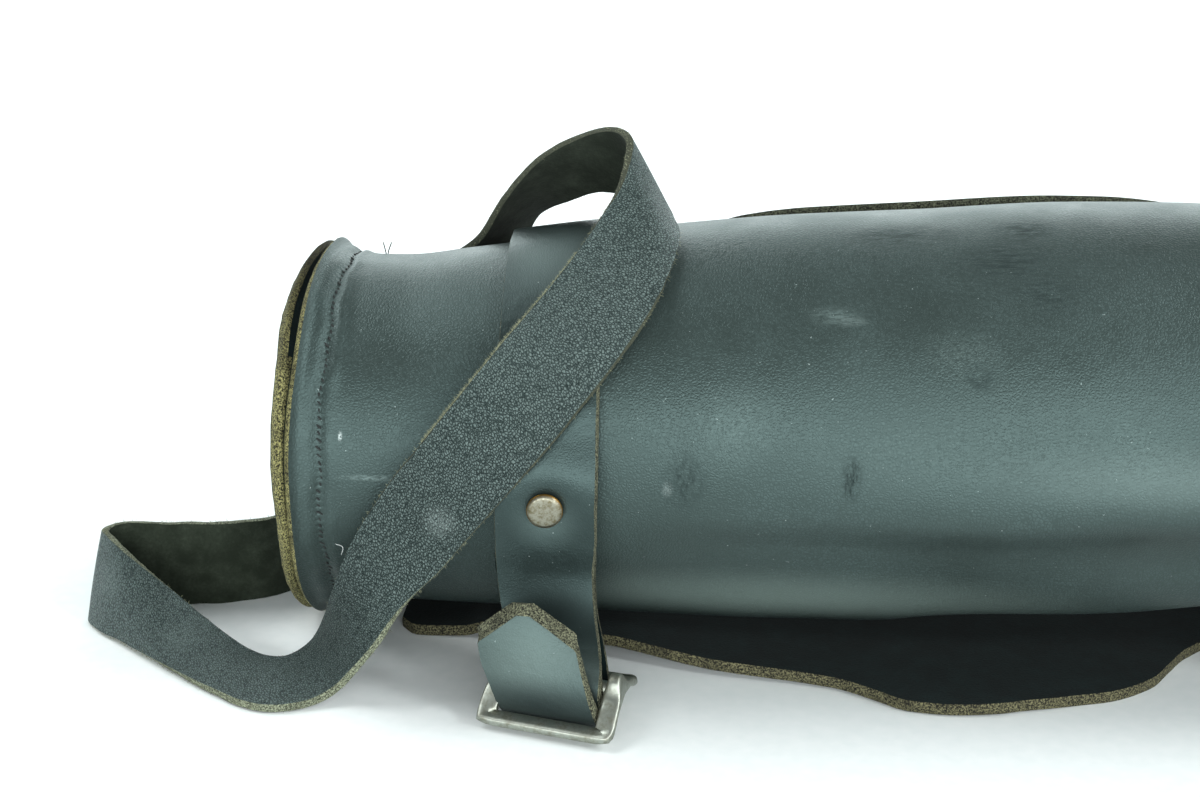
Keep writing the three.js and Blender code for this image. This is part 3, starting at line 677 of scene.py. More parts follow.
def pebbled_leather(name, dark, light, pebble_mm, marks):
    """Soft milled hide: small pebbles that catch the light, with thin dark creases between them."""
    made, tree, coords = begin(name)
    place = coords["Object"]
    strip = add(tree, "ShaderNodeMapping", {"Vector": coords["UV"], "Scale": (1.0, 0.72, 1.0)}).outputs[0]
    coarse = pebbles(tree, strip, UV_MM / pebble_mm, 0.28)
    fine = pebbles(tree, strip, UV_MM / (0.5 * pebble_mm), 0.3)
    cloud = noise(tree, place, per_metre(14), 5.0)
    colour = blend(tree, cloud, linear(dark), linear(light))
    colour = blend(tree, coarse, linear("#101716"), colour)
    gloss = remap(tree, cloud, 0.3, 0.7, 0.34, 0.48)
    for mark in marks:
        colour, gloss = wear_or_painted_light_mark(tree, place, colour, gloss, *mark)
    height = calc(tree, "MULTIPLY_ADD", fine, 0.5, coarse)
    return finished(made, Base_Color=colour, Roughness=gloss, Specular_Tint=COOL_GLOSS,
                    Normal=bump(tree, height, 0.5, 1.0))


def suede(name, dark, light):
    """The flesh side: short loose nap, very matt, mottled where it is rubbed."""
    made, tree, coords = begin(name)
    patch = noise(tree, coords["Object"], per_metre(9), 6.0, 0.7)
    nap = noise(tree, coords["Object"], per_metre(0.7), 4.0)
    colour = blend(tree, remap(tree, patch, 0.4, 0.75), linear(dark), linear(light))
    colour = blend(tree, nap, colour, linear(dark))
    return finished(made, Base_Color=colour, Roughness=0.95, Sheen_Weight=0.03, Sheen_Roughness=0.6,
                    Specular_IOR_Level=0.1, Normal=bump(tree, nap, 0.3, 0.7))


# Metres over which a cut edge turns from raw to dark above its given height
DARKENING_FADE = 0.02


def cut_edge(name, pale, dark, grit_mm, darker_above=1.0):
    """The raw cut: tan felted fibres, peppered with dark dye that soaked in, and darker above a given height,
    which on the carry strap is painted shade.
    """
    made, tree, coords = begin(name)
    place = coords["Object"]
    grit = noise(tree, place, per_metre(grit_mm), 3.0, 0.75)
    colour = blend(tree, remap(tree, grit, 0.43, 0.62), linear(dark), linear(pale))
    stain = remap(tree, noise(tree, place, per_metre(7), 5.0), 0.48, 0.75, 0.0, 0.6)
    height = add(tree, "ShaderNodeSeparateXYZ", {0: place}).outputs["Z"]
    # Darker above a given height: painted shade on the carry strap's edges, a darker top on the rims' edges
    high = remap(tree, height, darker_above, darker_above + DARKENING_FADE, 0.0, 0.85)
    for dark_share in (stain, high):
        colour = blend(tree, dark_share, colour, linear(dark))
    return finished(made, Base_Color=colour, Roughness=0.9, Specular_IOR_Level=0.3,
                    Normal=bump(tree, grit, 0.3, 0.9))


def aged_metal(name, dull, bright, stain, mottle_mm):
    """Nickel-plated steel, years old: dull warm grey, brown tarnish, bright where it rubs."""
    made, tree, coords = begin(name)
    mottle = noise(tree, coords["Object"], per_metre(mottle_mm), 6.0, 0.7)
    colour = blend(tree, remap(tree, mottle, 0.42, 0.66), linear(dull), linear(stain))
    worn = add(tree, "ShaderNodeAttribute", attribute_name="worn").outputs["Fac"]
    colour = blend(tree, worn, colour, linear(bright))
    gloss = remap(tree, mottle, 0.3, 0.7, 0.34, 0.56)
    return finished(made, Base_Color=colour, Metallic=1.0, Roughness=gloss,
                    Normal=bump(tree, mottle, 0.08, 0.35))


def plain_fibre(name, pale, dark):
    """Thread or loose leather fibre: matt, its tone changing along its length."""
    made, tree, coords = begin(name)
    tone = noise(tree, coords["Object"], per_metre(1.5), 2.0)
    return finished(made, Base_Color=blend(tree, tone, linear(dark), linear(pale)), Roughness=0.8)


def backdrop_paper(name, tone):
    """White background paper: matt, barely mottled."""
    made, tree, coords = begin(name)
    cloud = noise(tree, coords["Object"], per_metre(4), 4.0)
    share = remap(tree, cloud, 0.3, 0.7, 0.0, 0.25)
    return finished(made, Base_Color=blend(tree, share, tone, linear("#ffffff")), Roughness=0.9)


FINISHES = {
    "bag_grain": (smooth_leather, ("#29312f", "#364140", 0.43, 0.85, 0.075, BODY_MARKS_AND_PAINTED_LIGHT)),
    "strap_grain": (smooth_leather, ("#1b2221", "#252d2c", 0.35, 0.7, 0.03, STRAP_PAINTED_LIGHT)),
    "carry_grain": (pebbled_leather, ("#5e6b69", "#73817d", 0.6, CARRY_MARKS)),
    "flap_grain": (smooth_leather, ("#272e2d", "#333d3b", 0.45, 0.85, 0.04)),
    "flesh": (suede, ("#071313", "#152828")),
    "carry_flesh": (suede, ("#1d231b", "#434b40")),
    "edge": (cut_edge, ("#a09c68", "#0e0d08", 0.46)),
    # The rims' cut edges darken towards their tops
    "rim_edge": (cut_edge, ("#a09c68", "#0e0d08", 0.46, 0.08)),
    "strap_edge": (cut_edge, ("#7c7e66", "#11120d", 0.44)),
    "flap_edge": (cut_edge, ("#6f6c50", "#0b0b08", 0.46)),
    "dark_edge": (cut_edge, ("#5d624f", "#10110b", 0.46)),
    # The carry strap's cut edges darken above 30 mm: painted shade
    "carry_edge": (cut_edge, ("#959c84", "#33362b", 0.4, 0.03)),
    "nickel": (aged_metal, ("#a4a9a0", "#dadcd2", "#7f8073", 2.4)),
    "rivet_cap": (aged_metal, ("#8a897c", "#9a7432", "#625b44", 1.0)),
    "thread": (plain_fibre, ("#1b2120", "#0a0d0d")),
    "fibre": (plain_fibre, ("#979b80", "#5c5e46")),
    "white_fibre": (plain_fibre, ("#f3f7f6", "#c5cfcd")),
}


def finish_of(name):
    """The material of that name, made on first use."""
    build, values = FINISHES[name]
    return bpy.data.materials.get(name) or build(name, *values)


# Pieces

def length(name, description, default, low, high):
    """A length in metres that a user can change."""
    return FloatProperty(name=name, description=description, default=default, min=low, max=high,
                         unit="LENGTH")


def strength(name, description, default, unit="NONE"):
    """A light's strength that a user can change."""
    return FloatProperty(name=name, description=description, default=default, min=0.0, unit=unit)


class ToolBagSettings(bpy.types.PropertyGroup):
    """Sizes and light that a user would change."""
    leather: length("Leather", "Thickness of the bag, flap and closing straps", 0.003, 0.001, 0.006)
    carry_leather: length("Carry strap", "Thickness of the carry strap", 0.002, 0.001, 0.004)
    stitch_pitch: length("Stitch pitch", "Distance between stitches at the ends", 0.0019, 0.001, 0.006)
    seam_from_rim: length("Seam", "Distance of the sewn seam from the rim", 0.0056, 0.003, 0.015)
    key_light: strength("Key light", "Strength of the light from the front right", 0.9)
    side_lights: strength("Side lights", "Strength of the soft light from each side", 1.8)
    front_light: strength("Front light", "Power of the wide low light in front", 55.0, "POWER")
    back_light: strength("Back light", "Power of the wide low light behind", 56.0, "POWER")
    floor_colour: FloatVectorProperty(name="Floor", description="Tone of the pale floor",
                                      default=linear("#eaefef")[:3], size=3, subtype="COLOR")


def in_mm(length):
    """A setting in metres as millimetres."""
    return length / MM


SEAM_RADIUS = 47.4


def stitch_count(settings):
    """Stitches in a whole turn of the seam."""
    return round(2 * math.pi * SEAM_RADIUS / in_mm(settings.stitch_pitch))


def rim_sway(x, angle):
    """How far a rim leans out along the bag: most at the lower front, least at the upper back."""
    lean = 0.3 + 2.3 * np.cos(np.radians(angle + 25)) + 0.2 * np.sin(np.radians(7 * angle))
    return lean * ease(np.abs(x), 164, HALF_LENGTH)


def from_seam(x, angle, settings):
    """Distance inwards from the sewn seam, which wanders by two sines as it goes round."""
    a = np.radians(angle)
    wander = 0.28 * np.sin(9 * a + 0.6) + 0.18 * np.sin(23 * a)
    return HALF_LENGTH - np.abs(x) - in_mm(settings.seam_from_rim) - wander


# Angle of the brow over the long fold, depth of the fold, swell of the brow, tuck of the mouth's lip
BROW_ANGLE, FOLD_DEPTH, BROW_SWELL, LIP_TUCK = -7.8, 2.2, 3.3, 5.0


def body_relief(x, angle, settings):
    """Sewn groove beside each rim, a long fold low on the front, steep above and slow to rise again
    below it, a lip tucked in along the mouth, and slow waves over the rest."""
    away = from_seam(x, angle, settings)
    groove = 0.3 * bell(np.abs(away), 2.3, 1.1) - 0.7 * bell(away, 0, 1.0)
    ring = round_bag(x, angle, 50)
    drawn = 0.35 * soft_noise(ring, 5, 11) * bell(away, 0, 3.5)
    brow = BROW_ANGLE + 0.04 * np.clip(x, -20, 60) + 1.5 * soft_noise(ring * np.array([1, 0, 0]), 40, 12)
    fold = -FOLD_DEPTH * between(brow - angle, 0, 12, 13, 46) * between(x, -108, -55, 60, 110)
    swell = BROW_SWELL * bell(angle, brow + 1, 12) * between(x, -75, 5, 60, 98)
    lip = -LIP_TUCK * bell(angle, -68, 13) * between(x, -32, 6, 58, 118)
    waves = 0.28 * soft_noise(ring, 44, 3) + 0.10 * soft_noise(ring, 17, 4)
    return groove + drawn + fold + swell + lip + waves * ease(away, -2, 14)


class TOOLBAG_OT_body(bpy.types.Operator):
    """The rolled tube with its mouth along the underside"""
    bl_idname = "toolbag.body"
    bl_label = "Body"

    rim_from, rim_rows, middle_to, middle_rows, columns = 159, 34, 156.5, 132, 222
    mouth_rounding = 8

    def execute(self, context):
        settings = context.scene.tool_bag
        rim = np.linspace(HALF_LENGTH, self.rim_from, self.rim_rows)
        middle = np.linspace(-self.middle_to, self.middle_to, self.middle_rows)
        x = np.concatenate([-rim, middle, rim[::-1]])[:, None]
        beyond = np.abs(x) - MOUTH_HALF_LENGTH
        opening = 1 - 0.98 * ease(beyond, -self.mouth_rounding, self.mouth_rounding)
        share = np.linspace(0, 1, self.columns)
        front, back = -90 + MOUTH_FRONT_ANGLE * opening, 270 - MOUTH_BACK_ANGLE * opening
        angle = front + (back - front) * share
        x = np.broadcast_to(x, angle.shape)
        sway = rim_sway(x, angle)
        relief = body_relief(x, angle, settings)
        outer = round_bag(x, angle, bag_radius(x) - dent_depth(x, angle) + relief)
        place, radius = profile_inside(x, in_mm(settings.leather))
        inner = round_bag(x, angle, radius - dent_depth(x, angle) + relief * ease(170 - np.abs(x), -4, 6))
        inner[..., 0] = place
        for leather_face in (outer, inner):
            leather_face[..., 0] += np.sign(x) * sway
        points, faces, finish = leather_sheet(outer, inner, 0.35, 0.12, 21)
        uv = np.full((len(points), 2), UV_MM)
        count = angle / 360 * stitch_count(settings)
        uv[:x.size] = np.stack([count, from_seam(x, angle, settings)], -1).reshape(-1, 2)
        make_piece("body_leather", (points, faces), finish, ("bag_grain", "flesh", "edge"),
                   ["body"], uv)
        return {"FINISHED"}


class TOOLBAG_OT_ends(bpy.types.Operator):
    """The shallow end caps, whose rims turn out beside the tube's rims"""
    bl_idname = "toolbag.ends"
    bl_label = "End caps"

    disc = 158.0
    depth_in_tube = 3.65
    rim_reach = 1.5
    columns = 176
    # The rims stand apart round an angle, and where they touch the last rows of flesh show their cut
    gap_angle, gap_half, touching_rows = 62, 24, 5

    def execute(self, context):
        leather = in_mm(context.scene.tool_bag.leather)
        x = np.linspace(HALF_LENGTH, 166, 26)
        outer = np.stack(profile_inside(x, self.depth_in_tube), -1)
        inner = np.stack(profile_inside(x, self.depth_in_tube + leather), -1)
        lean = np.array([0.72, 0.70]) * self.rim_reach
        edge = np.linspace(outer[0] + lean, inner[0] + lean, 7)
        edge[1:-1] += np.array([0.3, 0.0])
        wall, back = outer[-1, 1], self.disc + leather
        bowl = np.linspace(0, 1, 9)[:, None]
        floor_out = np.array([self.disc, 0]) + bowl * np.array([0, wall - 5])
        floor_in = np.array([back, 0]) + bowl[::-1] * np.array([0, wall - leather - 4])
        turn_out = [(self.disc + 0.5, wall - 2.4), (self.disc + 1.6, wall - 0.9), (self.disc + 4, wall)]
        turn_in = [(back + 1.6, wall - leather), (back + 0.3, wall - leather - 1.6)]
        profile = np.vstack([floor_out, turn_out, outer[::-1], edge, inner, turn_in, floor_in])
        points, faces = turned(profile[:, 1], profile[:, 0], self.columns)
        flesh = len(floor_out) + len(turn_out) + len(outer) - 1
        kinds = np.repeat([FLESH, EDGE, GRAIN], [flesh, len(edge), len(profile) - 1 - flesh - len(edge)])
        finish = np.repeat(kinds[:, None], self.columns, axis=1)
        turn = (np.arange(self.columns) + 0.5) / self.columns * 360
        finish[flesh - self.touching_rows:flesh, np.abs(turn - self.gap_angle) > self.gap_half] = EDGE
        radius, angle, along = points.T
        at = np.degrees(angle)
        loose = ease(along, 167, 181)
        gape = 2.2 * bell(at, 56, 24) + 0.25 * np.sin(np.radians(5 * at + 20))
        gape = gape + rim_sway(np.full_like(at, HALF_LENGTH), at)
        flare = 2.0 * bell(at, 60, 15) - 1.1
        ring = np.stack([along, -radius * np.cos(angle), radius * np.sin(angle)], -1)
        ragged = 0.16 * soft_noise(ring, 2.4, 31) * ease(along, 178, 180)
        r = radius - loose * flare
        for side, name in SIDES:
            ring = np.stack([side * (along + loose * gape + ragged), -r * np.cos(angle),
                             RIM_HEIGHT + r * np.sin(angle)], -1)
            make_piece(f"end_{name}_leather", (ring, faces), finish.ravel(),
                       ("bag_grain", "flesh", "rim_edge"), [f"end_{name}"])
        return {"FINISHED"}


class TOOLBAG_OT_stitches(bpy.types.Operator):
    """The sewn seam round each end, one short thread to each stitch"""
    bl_idname = "toolbag.stitches"
    bl_label = "Stitches"

    thread_radius = 0.26

    def execute(self, context):
        settings = context.scene.tool_bag
        count = stitch_count(settings)
        step = 360 / count
        draw = np.random.default_rng(81)
        for side, name in SIDES:
            centre = (np.arange(count) * step)[:, None]
            along = np.linspace(-0.38, 0.38, 5) * draw.uniform(0.7, 1.15, (count, 1))
            angle = centre + step * (along + draw.normal(0, 0.06, (count, 1)))
            seam = from_seam(np.zeros_like(angle), angle, settings) + draw.normal(0, 0.1, (count, 1))
            x = side * (seam + draw.uniform(0.3, 2.0, (count, 1)) * along)
            sunk = 0.2 - 2.2 * along**2 - draw.uniform(0, 0.3, (count, 1))
            lift = sunk + body_relief(x, np.broadcast_to(centre, angle.shape), settings)
            paths = round_bag(x, angle, bag_radius(x) + lift)
            paths[..., 0] += side * rim_sway(x, angle)
            shape = tubes(paths, self.thread_radius, 6)
            make_piece(f"stitches_{name}", shape, 0, ["thread"])
        return {"FINISHED"}


class TOOLBAG_OT_flap(bpy.types.Operator):
    """The sheet down the back, under the bag and out at the front"""
    bl_idname = "toolbag.flap"
    bl_label = "Flap"

    rows, back_columns, front_columns = 210, 58, 44
    # Cut edges above this height lie over the top of the bag
    raised_above = 60

    def execute(self, context):
        leather = in_mm(context.scene.tool_bag.leather)
        x = np.linspace(-FLAP_HALF_LENGTH, FLAP_HALF_LENGTH, self.rows)[:, None]
        top = smooth_column(FLAP_UPPER_EDGE, 1, x)
        angle = top + (270 - top) * np.linspace(0, 1, self.back_columns)
        edge = smooth_column(FLAP_FRONT_EDGE, 1, x)
        edge = edge + 0.35 * soft_noise(np.concatenate([x, edge, 0 * x], -1), 9, 41)[:, None]
        forward = edge * np.linspace(0, 1, self.front_columns)[1:]
        x = np.broadcast_to(x, angle.shape)
        long_x = np.broadcast_to(x[:, :1], forward.shape)
        faces_of = []
        for lift, up in ((GAP + leather, 0.0), (GAP, leather)):
            skived = 1 - 0.1 * bell(angle, top, 9)
            arc = on_bag(x, angle, GAP + (lift - GAP) * skived)
            level = smooth_column(FLAP_FRONT_EDGE, 2, x) + up
            above = arc[..., 2] - level
            arc[..., 2] = level + 0.5 * (above + np.sqrt(above**2 + 0.6))
            lie = smooth_column(FLAP_FRONT_EDGE, 2, long_x) + up
            floor = np.stack([long_x, forward, lie], -1)
            ripple = 0.5 * (1 + soft_noise(floor * np.array([1, 1, 0]), 26, 43))
            floor[..., 2] += 1.1 * ripple * ease(-forward, 12, 50)
            faces_of.append(np.concatenate([arc, floor], 1))
        points, faces, finish = leather_sheet(faces_of[0], faces_of[1], 0.3, 0.16, 45)
        points[:, 2] = np.maximum(points[:, 2], 0)
        raised = points[np.array(faces)].mean(1)[:, 2] > self.raised_above
        finish = np.where(raised & (finish == EDGE), DARK_EDGE, finish)
        make_piece("flap_leather", (points, faces), finish, ("flap_grain", "flesh", "flap_edge", "dark_edge"),
                   ["flap"])
        return {"FINISHED"}


def full_strap_route():
    """The strap's rows, with more where it bends round the bag."""
    rows = []
    for row, following in zip(STRAP_ROUTE, STRAP_ROUTE[1:] + [None]):
        rows.append(row)
        if following is None or len(row) != 2 or len(following) != 2:
            continue
        steps = math.ceil(abs(following[0] - row[0]) / STRAP_ARC_STEP)
        rows += [tuple(a + (b - a) * k / steps for a, b in zip(row, following)) for k in range(1, steps)]
    return rows


def strap_edge(side, edge):
    """One cut edge of a closing strap: side is -1 on the left and 1 on the right, edge is -1 or 1."""
    points = []
    for row in full_strap_route():
        if len(row) == 2:
            points.append(on_bag(side * (STRAP_X - edge * STRAP_WIDTH / 2), *row))
            continue
        inward, y, z, yaw, share = row
        reach = edge * share * STRAP_WIDTH / 2
        x = side * (STRAP_X - inward - math.cos(math.radians(yaw)) * reach)
        points.append((x, y + math.sin(math.radians(yaw)) * reach, z))
    return np.array(points)


def rivet_seat(side):
    """Foot of a closing strap's rivet on the bag, and the direction it points."""
    foot = on_bag(side * STRAP_X, RIVET_ANGLE, 0)
    a = math.radians(RIVET_ANGLE)
    return foot, np.array([0, -math.cos(a), math.sin(a)])


class TOOLBAG_OT_straps(bpy.types.Operator):
    """The closing straps: turned back round the buckle, over the bag, and out again to a pointed tip"""
    bl_idname = "toolbag.straps"
    bl_label = "Closing straps"

    steps = 12
    # The hollow pressed round the rivet
    press_depth, press_reach, press_height = 1.7, 6.8, 12

    def execute(self, context):
        leather = in_mm(context.scene.tool_bag.leather)
        for side, name in SIDES:
            edge_a = flowing_line(strap_edge(side, -1), self.steps)
            edge_b = flowing_line(strap_edge(side, 1), self.steps)
            to_end = np.arange(len(edge_a))[::-1] / self.steps
            width = np.minimum(1, 0.22 + 0.8 * to_end)
            face = np.clip(0.8 * to_end - 0.2, 0.004, 0.97)
            points, faces, finish, uv = leather_strip(
                edge_a, edge_b, leather, across=21, grain_side=side, width=width, face=face, crown=0.12,
                ragged=0.12, seed=51 + side)
            foot, outward = rivet_seat(side)
            away = points - foot
            out = away @ outward
            beside = np.linalg.norm(away - out[:, None] * outward, axis=1)
            pressed = self.press_depth * bell(beside, 0, self.press_reach)
            pressed = pressed * (out > 0) * (out < self.press_height)
            points = points - pressed[:, None] * outward
            make_piece(f"strap_{name}_leather", (points, faces), finish,
                       ("strap_grain", "flesh", "strap_edge"), [f"strap_{name}"], uv)
        return {"FINISHED"}


# Columns: radius, height and wear over a rivet's head, from its post to the middle of its cap
RIVET_PROFILE = np.array([
    (0, -6.0, 0),
    (2.0, -6.0, 0),
    (2.0, -0.2, 0),
    (4.15, -0.15, 1),
    (4.42, 0.1, 1),
    (4.5, 0.42, 1),
    (4.42, 0.72, 1),
    (4.26, 0.92, 0.3),
    (3.98, 1.16, 0),
    (3.72, 1.33, 0),
    (3.4, 1.4, 0),
    (2.2, 1.46, 0),
    (1.1, 1.5, 0),
    (0, 1.51, 0),
])


class TOOLBAG_OT_rivets(bpy.types.Operator):
    """Low rivets on the closing straps and at the carry strap's ends"""
    bl_idname = "toolbag.rivets"
    bl_label = "Rivets"

    columns = 40
    # Height of a closing strap's rivet over the bag, and length of its post
    height, post = 6.7, 6.0
    # Columns: name, centre, direction, post length
    back_seats = [
        ("carry_rivet_left", (-144, 54.6, 51), (0, 1, 0), 2.4),
        ("carry_rivet_right", (149, 56.1, 51), (0, 1, 0), 2.4),
    ]

    def execute(self, context):
        seats = list(self.back_seats)
        for side, name in SIDES:
            foot, outward = rivet_seat(side)
            seats.append((f"rivet_{name}", foot + self.height * outward, outward, self.post))
        for name, centre, outward, post in seats:
            radius, height, wear = RIVET_PROFILE.T.copy()
            height[:2] = -post
            points, faces = turned(radius, height, self.columns)
            worn = np.concatenate([[wear[0]], np.repeat(wear[1:-1], self.columns), [wear[-1]]])
            ring = set_up(points, np.array(centre), outward)
            make_piece(f"{name}_cap", (ring, faces), 0, ["rivet_cap"], [name], worn=worn)
        return {"FINISHED"}


class TOOLBAG_OT_buckles(bpy.types.Operator):
    """Bowed frame buckles with a raised bar across the middle"""
    bl_idname = "toolbag.buckles"
    bl_label = "Buckles"

    width, length, bar, side_bar, bow = 35.0, 27.8, 4.5, 4.8, 5.4
    thickness, ear = 2.3, 3.4
    centre_bar_radius = 2.0
    corner_power, section_power, taper = 0.1, 0.45, 0.05
    steps, sides, bar_sides = 220, 24, 20
    inward, y, z, pitch = 4.7, -66.2, 4.0, 7.0

    def frame_path(self, count):
        """A rounded rectangle, narrower at the far end, bowed up to its middle, in equal steps."""
        square = squared(np.linspace(0, 2 * np.pi, 6001), self.corner_power)
        x = (self.width - self.side_bar) / 2 * square[0] * (1 - self.taper * (1 + square[1]))
        y = (self.length - self.bar) / 2 * square[1]
        path = np.stack([x, y, self.bow * (1 - square[1] ** 2)], -1)
        length = np.concatenate([[0], np.cumsum(np.linalg.norm(np.diff(path, axis=0), axis=1))])
        at = (np.arange(count) + 0.5) / count * length[-1]
        return np.stack([np.interp(at, length, column) for column in path.T], -1)

    def execute(self, context):
        steps, sides = self.steps, self.sides
        path = self.frame_path(steps)
        along = unit(np.roll(path, -1, 0) - np.roll(path, 1, 0))
        outward = unit(np.cross(along, [0, 0, 1.0]))
        upward = np.cross(outward, along)
        flat = squared(circle(sides), self.section_power)
        bar = self.bar + (self.side_bar - self.bar) * np.abs(along[:, 1:2])
        ear = self.ear * bell(path[:, 1:2], 0, 3.0) * (np.abs(path[:, :1]) > 12)
        rise = self.thickness / 2 * flat[1] + ear * np.maximum(flat[1], 0)
        narrow = 1 - 0.35 * ear / self.ear * np.maximum(flat[1], 0)
        corner = 1 - np.abs(unit(along[:, :2])).max(1, keepdims=True)
        mitre = 1 + 1.3 * corner * (flat[0] > 0)
        across = bar / 2 * flat[0] * narrow * mitre
        section = outward[:, None] * across[..., None] + upward[:, None] * rise[..., None]
        frame_points = (path[:, None] + section).reshape(-1, 3)
        frame_faces = grid_faces(steps, sides, wrap=True, ring=True)
        rub = np.clip(3 * np.abs(flat[0] * flat[1]) - 1.6, 0, 1)
        worn = 0.85 * np.broadcast_to(rub, (steps, sides)).ravel()
        worn = worn * (0.55 + 0.45 * soft_noise(frame_points, 3.0, 61))
        reach = 0.95 * (self.width - self.side_bar) / 2
        ends = np.array([0, 0.6, 1.2, 1.7, 1.7, 1.2, 0.6, 0]) / 1.7 * self.centre_bar_radius
        place = np.array([-0.9, -0.8, -0.4, 0.4, -0.4, 0.4, 0.8, 0.9])
        place = place + np.where(np.arange(8) < 4, -reach, reach)
        bar_points, bar_faces = turned(ends, place, self.bar_sides)
        bar_points = set_up(bar_points, np.array([0, 0, self.bow]), [1, 0, 0])
        points = np.vstack([frame_points, bar_points])
        shift = len(frame_points)
        faces = frame_faces.tolist() + [[i + shift for i in f] for f in bar_faces]
        worn = np.clip(np.concatenate([worn, np.zeros(len(bar_points))]), 0, 1)
        for side, name in SIDES:
            turn = Matrix.Rotation(-side * math.radians(BUCKLE_YAW), 3, "Z")
            turn = turn @ Matrix.Rotation(math.radians(self.pitch), 3, "X")
            seat = np.array([side * (STRAP_X - self.inward), self.y, self.z])
            placed = points @ np.array(turn).T + seat
            make_piece(f"buckle_{name}_metal", (placed, faces), 0, ["nickel"],
                       [f"buckle_{name}"], worn=worn)
        return {"FINISHED"}


class TOOLBAG_OT_carry_strap(bpy.types.Operator):
    """The long soft strap between the two rivets on the back, with its frayed edges"""
    bl_idname = "toolbag.carry_strap"
    bl_label = "Carry strap"

    steps = 9
    fibres = 2600
    frayed = 1900

    def execute(self, context):
        leather = in_mm(context.scene.tool_bag.carry_leather)
        edge_a = flowing_line(CARRY_ROUTE[:, :3], self.steps)
        edge_b = flowing_line(CARRY_ROUTE[:, 3:], self.steps)
        whole = np.ones(len(edge_a))
        points, faces, finish, uv = leather_strip(
            edge_a, edge_b, leather, across=25, grain_side=1, width=whole, face=0.985 * whole, crown=0.25,
            ragged=0.16, seed=71)
        make_piece("carry_strap_leather", (points, faces), finish,
                   ("carry_grain", "carry_flesh", "carry_edge"), ["carry_strap"], uv)
        draw = np.random.default_rng(72)
        middle = (edge_a + edge_b) / 2
        front = np.flatnonzero((middle[:, 1] < -30) & (middle[:, 2] > 56) & (middle[:, 2] < 102))
        count = self.fibres + self.frayed
        row = draw.integers(1, len(edge_a) - 1, self.fibres)
        row = np.concatenate([row, draw.choice(front, self.frayed)])
        on_a = draw.random(count) < 0.5
        on_a[self.fibres:] = edge_a[row[self.fibres:], 0] < edge_b[row[self.fibres:], 0]
        near = np.where(on_a[:, None], edge_a[row], edge_b[row])
        reach = unit(np.where(on_a[:, None], edge_a[row] - edge_b[row], edge_b[row] - edge_a[row]))
        slide = (edge_a[row + 1] - edge_a[row]) * draw.uniform(-1, 1, (count, 1))
        thick = unit(np.cross(edge_a[row + 1] - edge_a[row], reach)) * draw.uniform(-0.8, 0.8, (count, 1))
        roots = near + slide + thick + 0.05 * reach
        stray = draw.normal(0, 0.55, (count, 3))
        tips = roots + (unit(reach + stray)) * draw.uniform(0.3, 1.1, (count, 1)) ** 1.5
        tips[:, 2] = np.maximum(tips[:, 2], 0.05)
        make_piece("carry_strap_fibres", spikes(roots, tips, 0.07), 0, ["fibre"])
        return {"FINISHED"}


class TOOLBAG_OT_threads(bpy.types.Operator):
    """Loose thread ends at the left seam, and a stray pale fibre"""
    bl_idname = "toolbag.threads"
    bl_label = "Loose threads"

    # Columns: root, bend, tip
    knots = [
        ((-164.0, 13, 93.5), (-164.3, 12.5, 97.0), (-165.0, 12, 100.3)),
        ((-164.0, 13, 93.5), (-163.6, 12.5, 97.0), (-162.4, 12, 100.2)),
    ]
    curl = [(-168.2, -45.6, 31.8), (-167.6, -46.6, 34.6), (-169.6, -46.2, 35.2)]

    def execute(self, context):
        paths = np.array([flowing_line(row, 6) for row in self.knots])
        make_piece("thread_ends", tubes(paths, 0.16, 6), 0, ["thread"])
        path = flowing_line(self.curl, 6)[None]
        make_piece("stray_fibre", tubes(path, 0.07, 6), 0, ["white_fibre"])
        return {"FINISHED"}


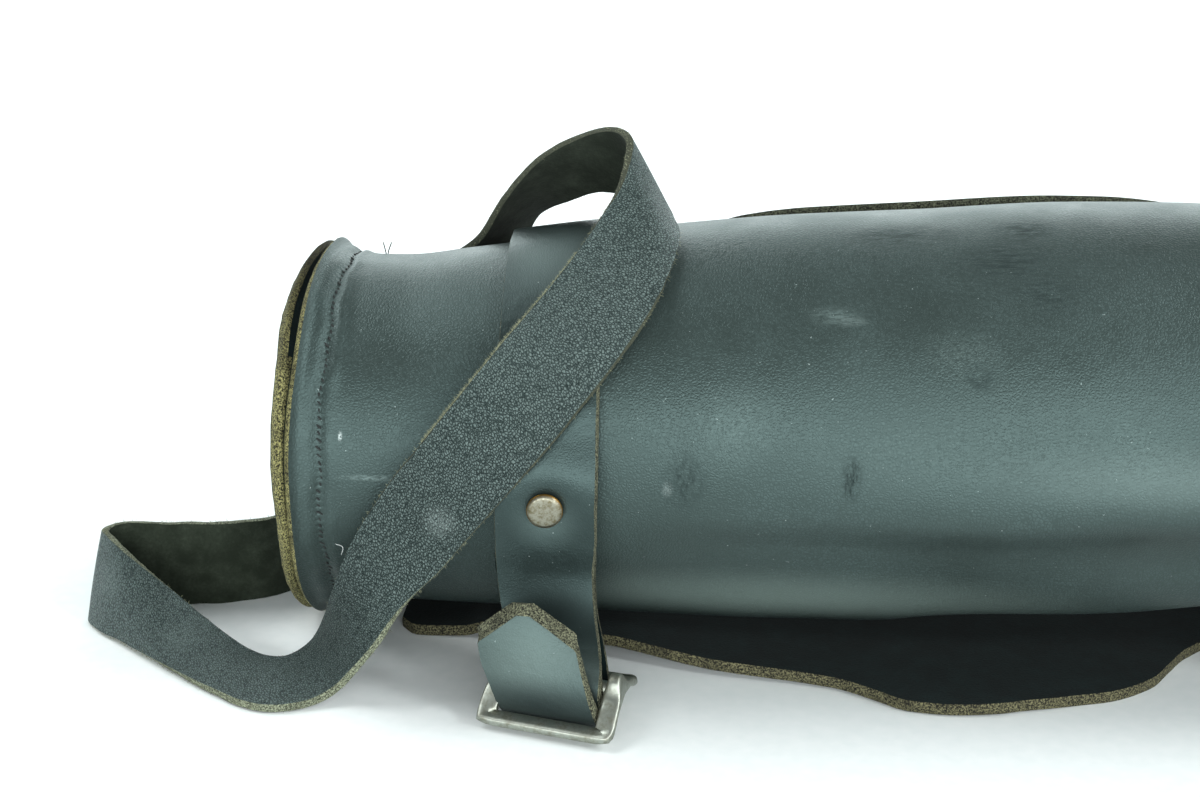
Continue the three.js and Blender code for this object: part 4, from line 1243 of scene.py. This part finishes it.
class TOOLBAG_OT_stage(bpy.types.Operator):
    """A pale floor, a key light, soft light from both sides, the front and the back, and the camera"""
    bl_idname = "toolbag.stage"
    bl_label = "Stage"

    azimuth, elevation, roll = 1.75, 18.0, 0.8
    eye = (-91.5, -431.7, 200.5)
    lens, sensor = 50.0, 36.0
    floor_reach = 6.0
    middle = (-0.08, 0.0, 0.05)
    world_tone, world_strength = (0.93, 1.0, 1.0, 1.0), 0.2
    # Columns: name, setting of its strength, place, red of its cool tone, angle or width and height
    suns = [
        ("key", "key_light", (0.69, -0.44, 0.57), 0.96, 12),
        ("left", "side_lights", (-0.6, 0.25, 0.76), 0.96, 36),
        ("right", "side_lights", (0.75, 0.15, 0.65), 0.96, 36),
    ]
    panels = [
        ("front", "front_light", (0.1, -1.7, 0.42), 0.97, (3.4, 0.8)),
        ("back", "back_light", (-0.5, 2.0, 0.95), 0.9, (4.0, 1.2)),
    ]

    def add_light(self, scene, kind, name, setting, place, red, **shape):
        """A light of a kind at a place, pointed at the middle of the bag with its X axis level."""
        light = bpy.data.lights.new(name, kind)
        light.energy = getattr(scene.tool_bag, setting)
        light.color = (red, 1.0, 1.0)
        for key, value in shape.items():
            setattr(light, key, value)
        lamp = bpy.data.objects.new(name, light)
        aim = Vector(self.middle) - Vector(place)
        lamp.matrix_world = Matrix.LocRotScale(place, aim.to_track_quat("-Z", "Y"), None)
        scene.collection.objects.link(lamp)

    def execute(self, context):
        scene = context.scene
        scene.view_settings.view_transform = "Standard"
        mesh = bpy.data.meshes.new("floor")
        r = self.floor_reach
        mesh.from_pydata([(-r, -r, 0), (r, -r, 0), (r, r, 0), (-r, r, 0)], [], [(0, 1, 2, 3)])
        mesh.materials.append(backdrop_paper("backdrop_paper", (*scene.tool_bag.floor_colour, 1.0)))
        floor = bpy.data.objects.new("floor", mesh)
        scene.collection.objects.link(floor)
        world = bpy.data.worlds.new("studio")
        world.use_nodes = True
        glow = world.node_tree.nodes["Background"]
        connect(world.node_tree, glow, {0: self.world_tone, 1: self.world_strength})
        scene.world = world
        for *row, angle in self.suns:
            self.add_light(scene, "SUN", *row, angle=math.radians(angle))
        for *row, (width, height) in self.panels:
            self.add_light(scene, "AREA", *row, shape="RECTANGLE", size=width, size_y=height)
        az, el, roll = (math.radians(v) for v in (self.azimuth, self.elevation, self.roll))
        turn = Euler((math.pi / 2 - el, 0, az)).to_matrix() @ Matrix.Rotation(roll, 3, "Z")
        camera = bpy.data.objects.new("camera", bpy.data.cameras.new("camera"))
        camera.data.lens, camera.data.sensor_width = self.lens, self.sensor
        camera.data.sensor_fit = "HORIZONTAL"
        camera.data.clip_start = 0.01
        camera.matrix_world = Matrix.LocRotScale([v * MM for v in self.eye], turn, None)
        scene.collection.objects.link(camera)
        scene.camera = camera
        return {"FINISHED"}


class TOOLBAG_PT_panel(bpy.types.Panel):
    """Lists the pieces and their sizes"""
    bl_idname = "TOOLBAG_PT_panel"
    bl_label = "Tool bag"
    bl_space_type = "VIEW_3D"
    bl_region_type = "UI"
    bl_category = "Tool bag"

    def draw(self, context):
        for name in ToolBagSettings.__annotations__:
            self.layout.prop(context.scene.tool_bag, name)
        for operator in OPERATORS:
            self.layout.operator(operator.bl_idname)


OPERATORS = (
    TOOLBAG_OT_body,
    TOOLBAG_OT_ends,
    TOOLBAG_OT_stitches,
    TOOLBAG_OT_flap,
    TOOLBAG_OT_straps,
    TOOLBAG_OT_rivets,
    TOOLBAG_OT_buckles,
    TOOLBAG_OT_carry_strap,
    TOOLBAG_OT_threads,
    TOOLBAG_OT_stage,
)
CLASSES = (ToolBagSettings, *OPERATORS, TOOLBAG_PT_panel)


def register():
    """Registers the settings, operators and panel."""
    for made in CLASSES:
        bpy.utils.register_class(made)
    bpy.types.Scene.tool_bag = PointerProperty(type=ToolBagSettings)


def unregister():
    """Removes what register added."""
    del bpy.types.Scene.tool_bag
    for made in reversed(CLASSES):
        bpy.utils.unregister_class(made)


def main():
    """Builds every piece and the stage."""
    register()
    for operator in OPERATORS:
        group, name = operator.bl_idname.split(".")
        getattr(getattr(bpy.ops, group), name)()


if __name__ == "__main__":
    main()
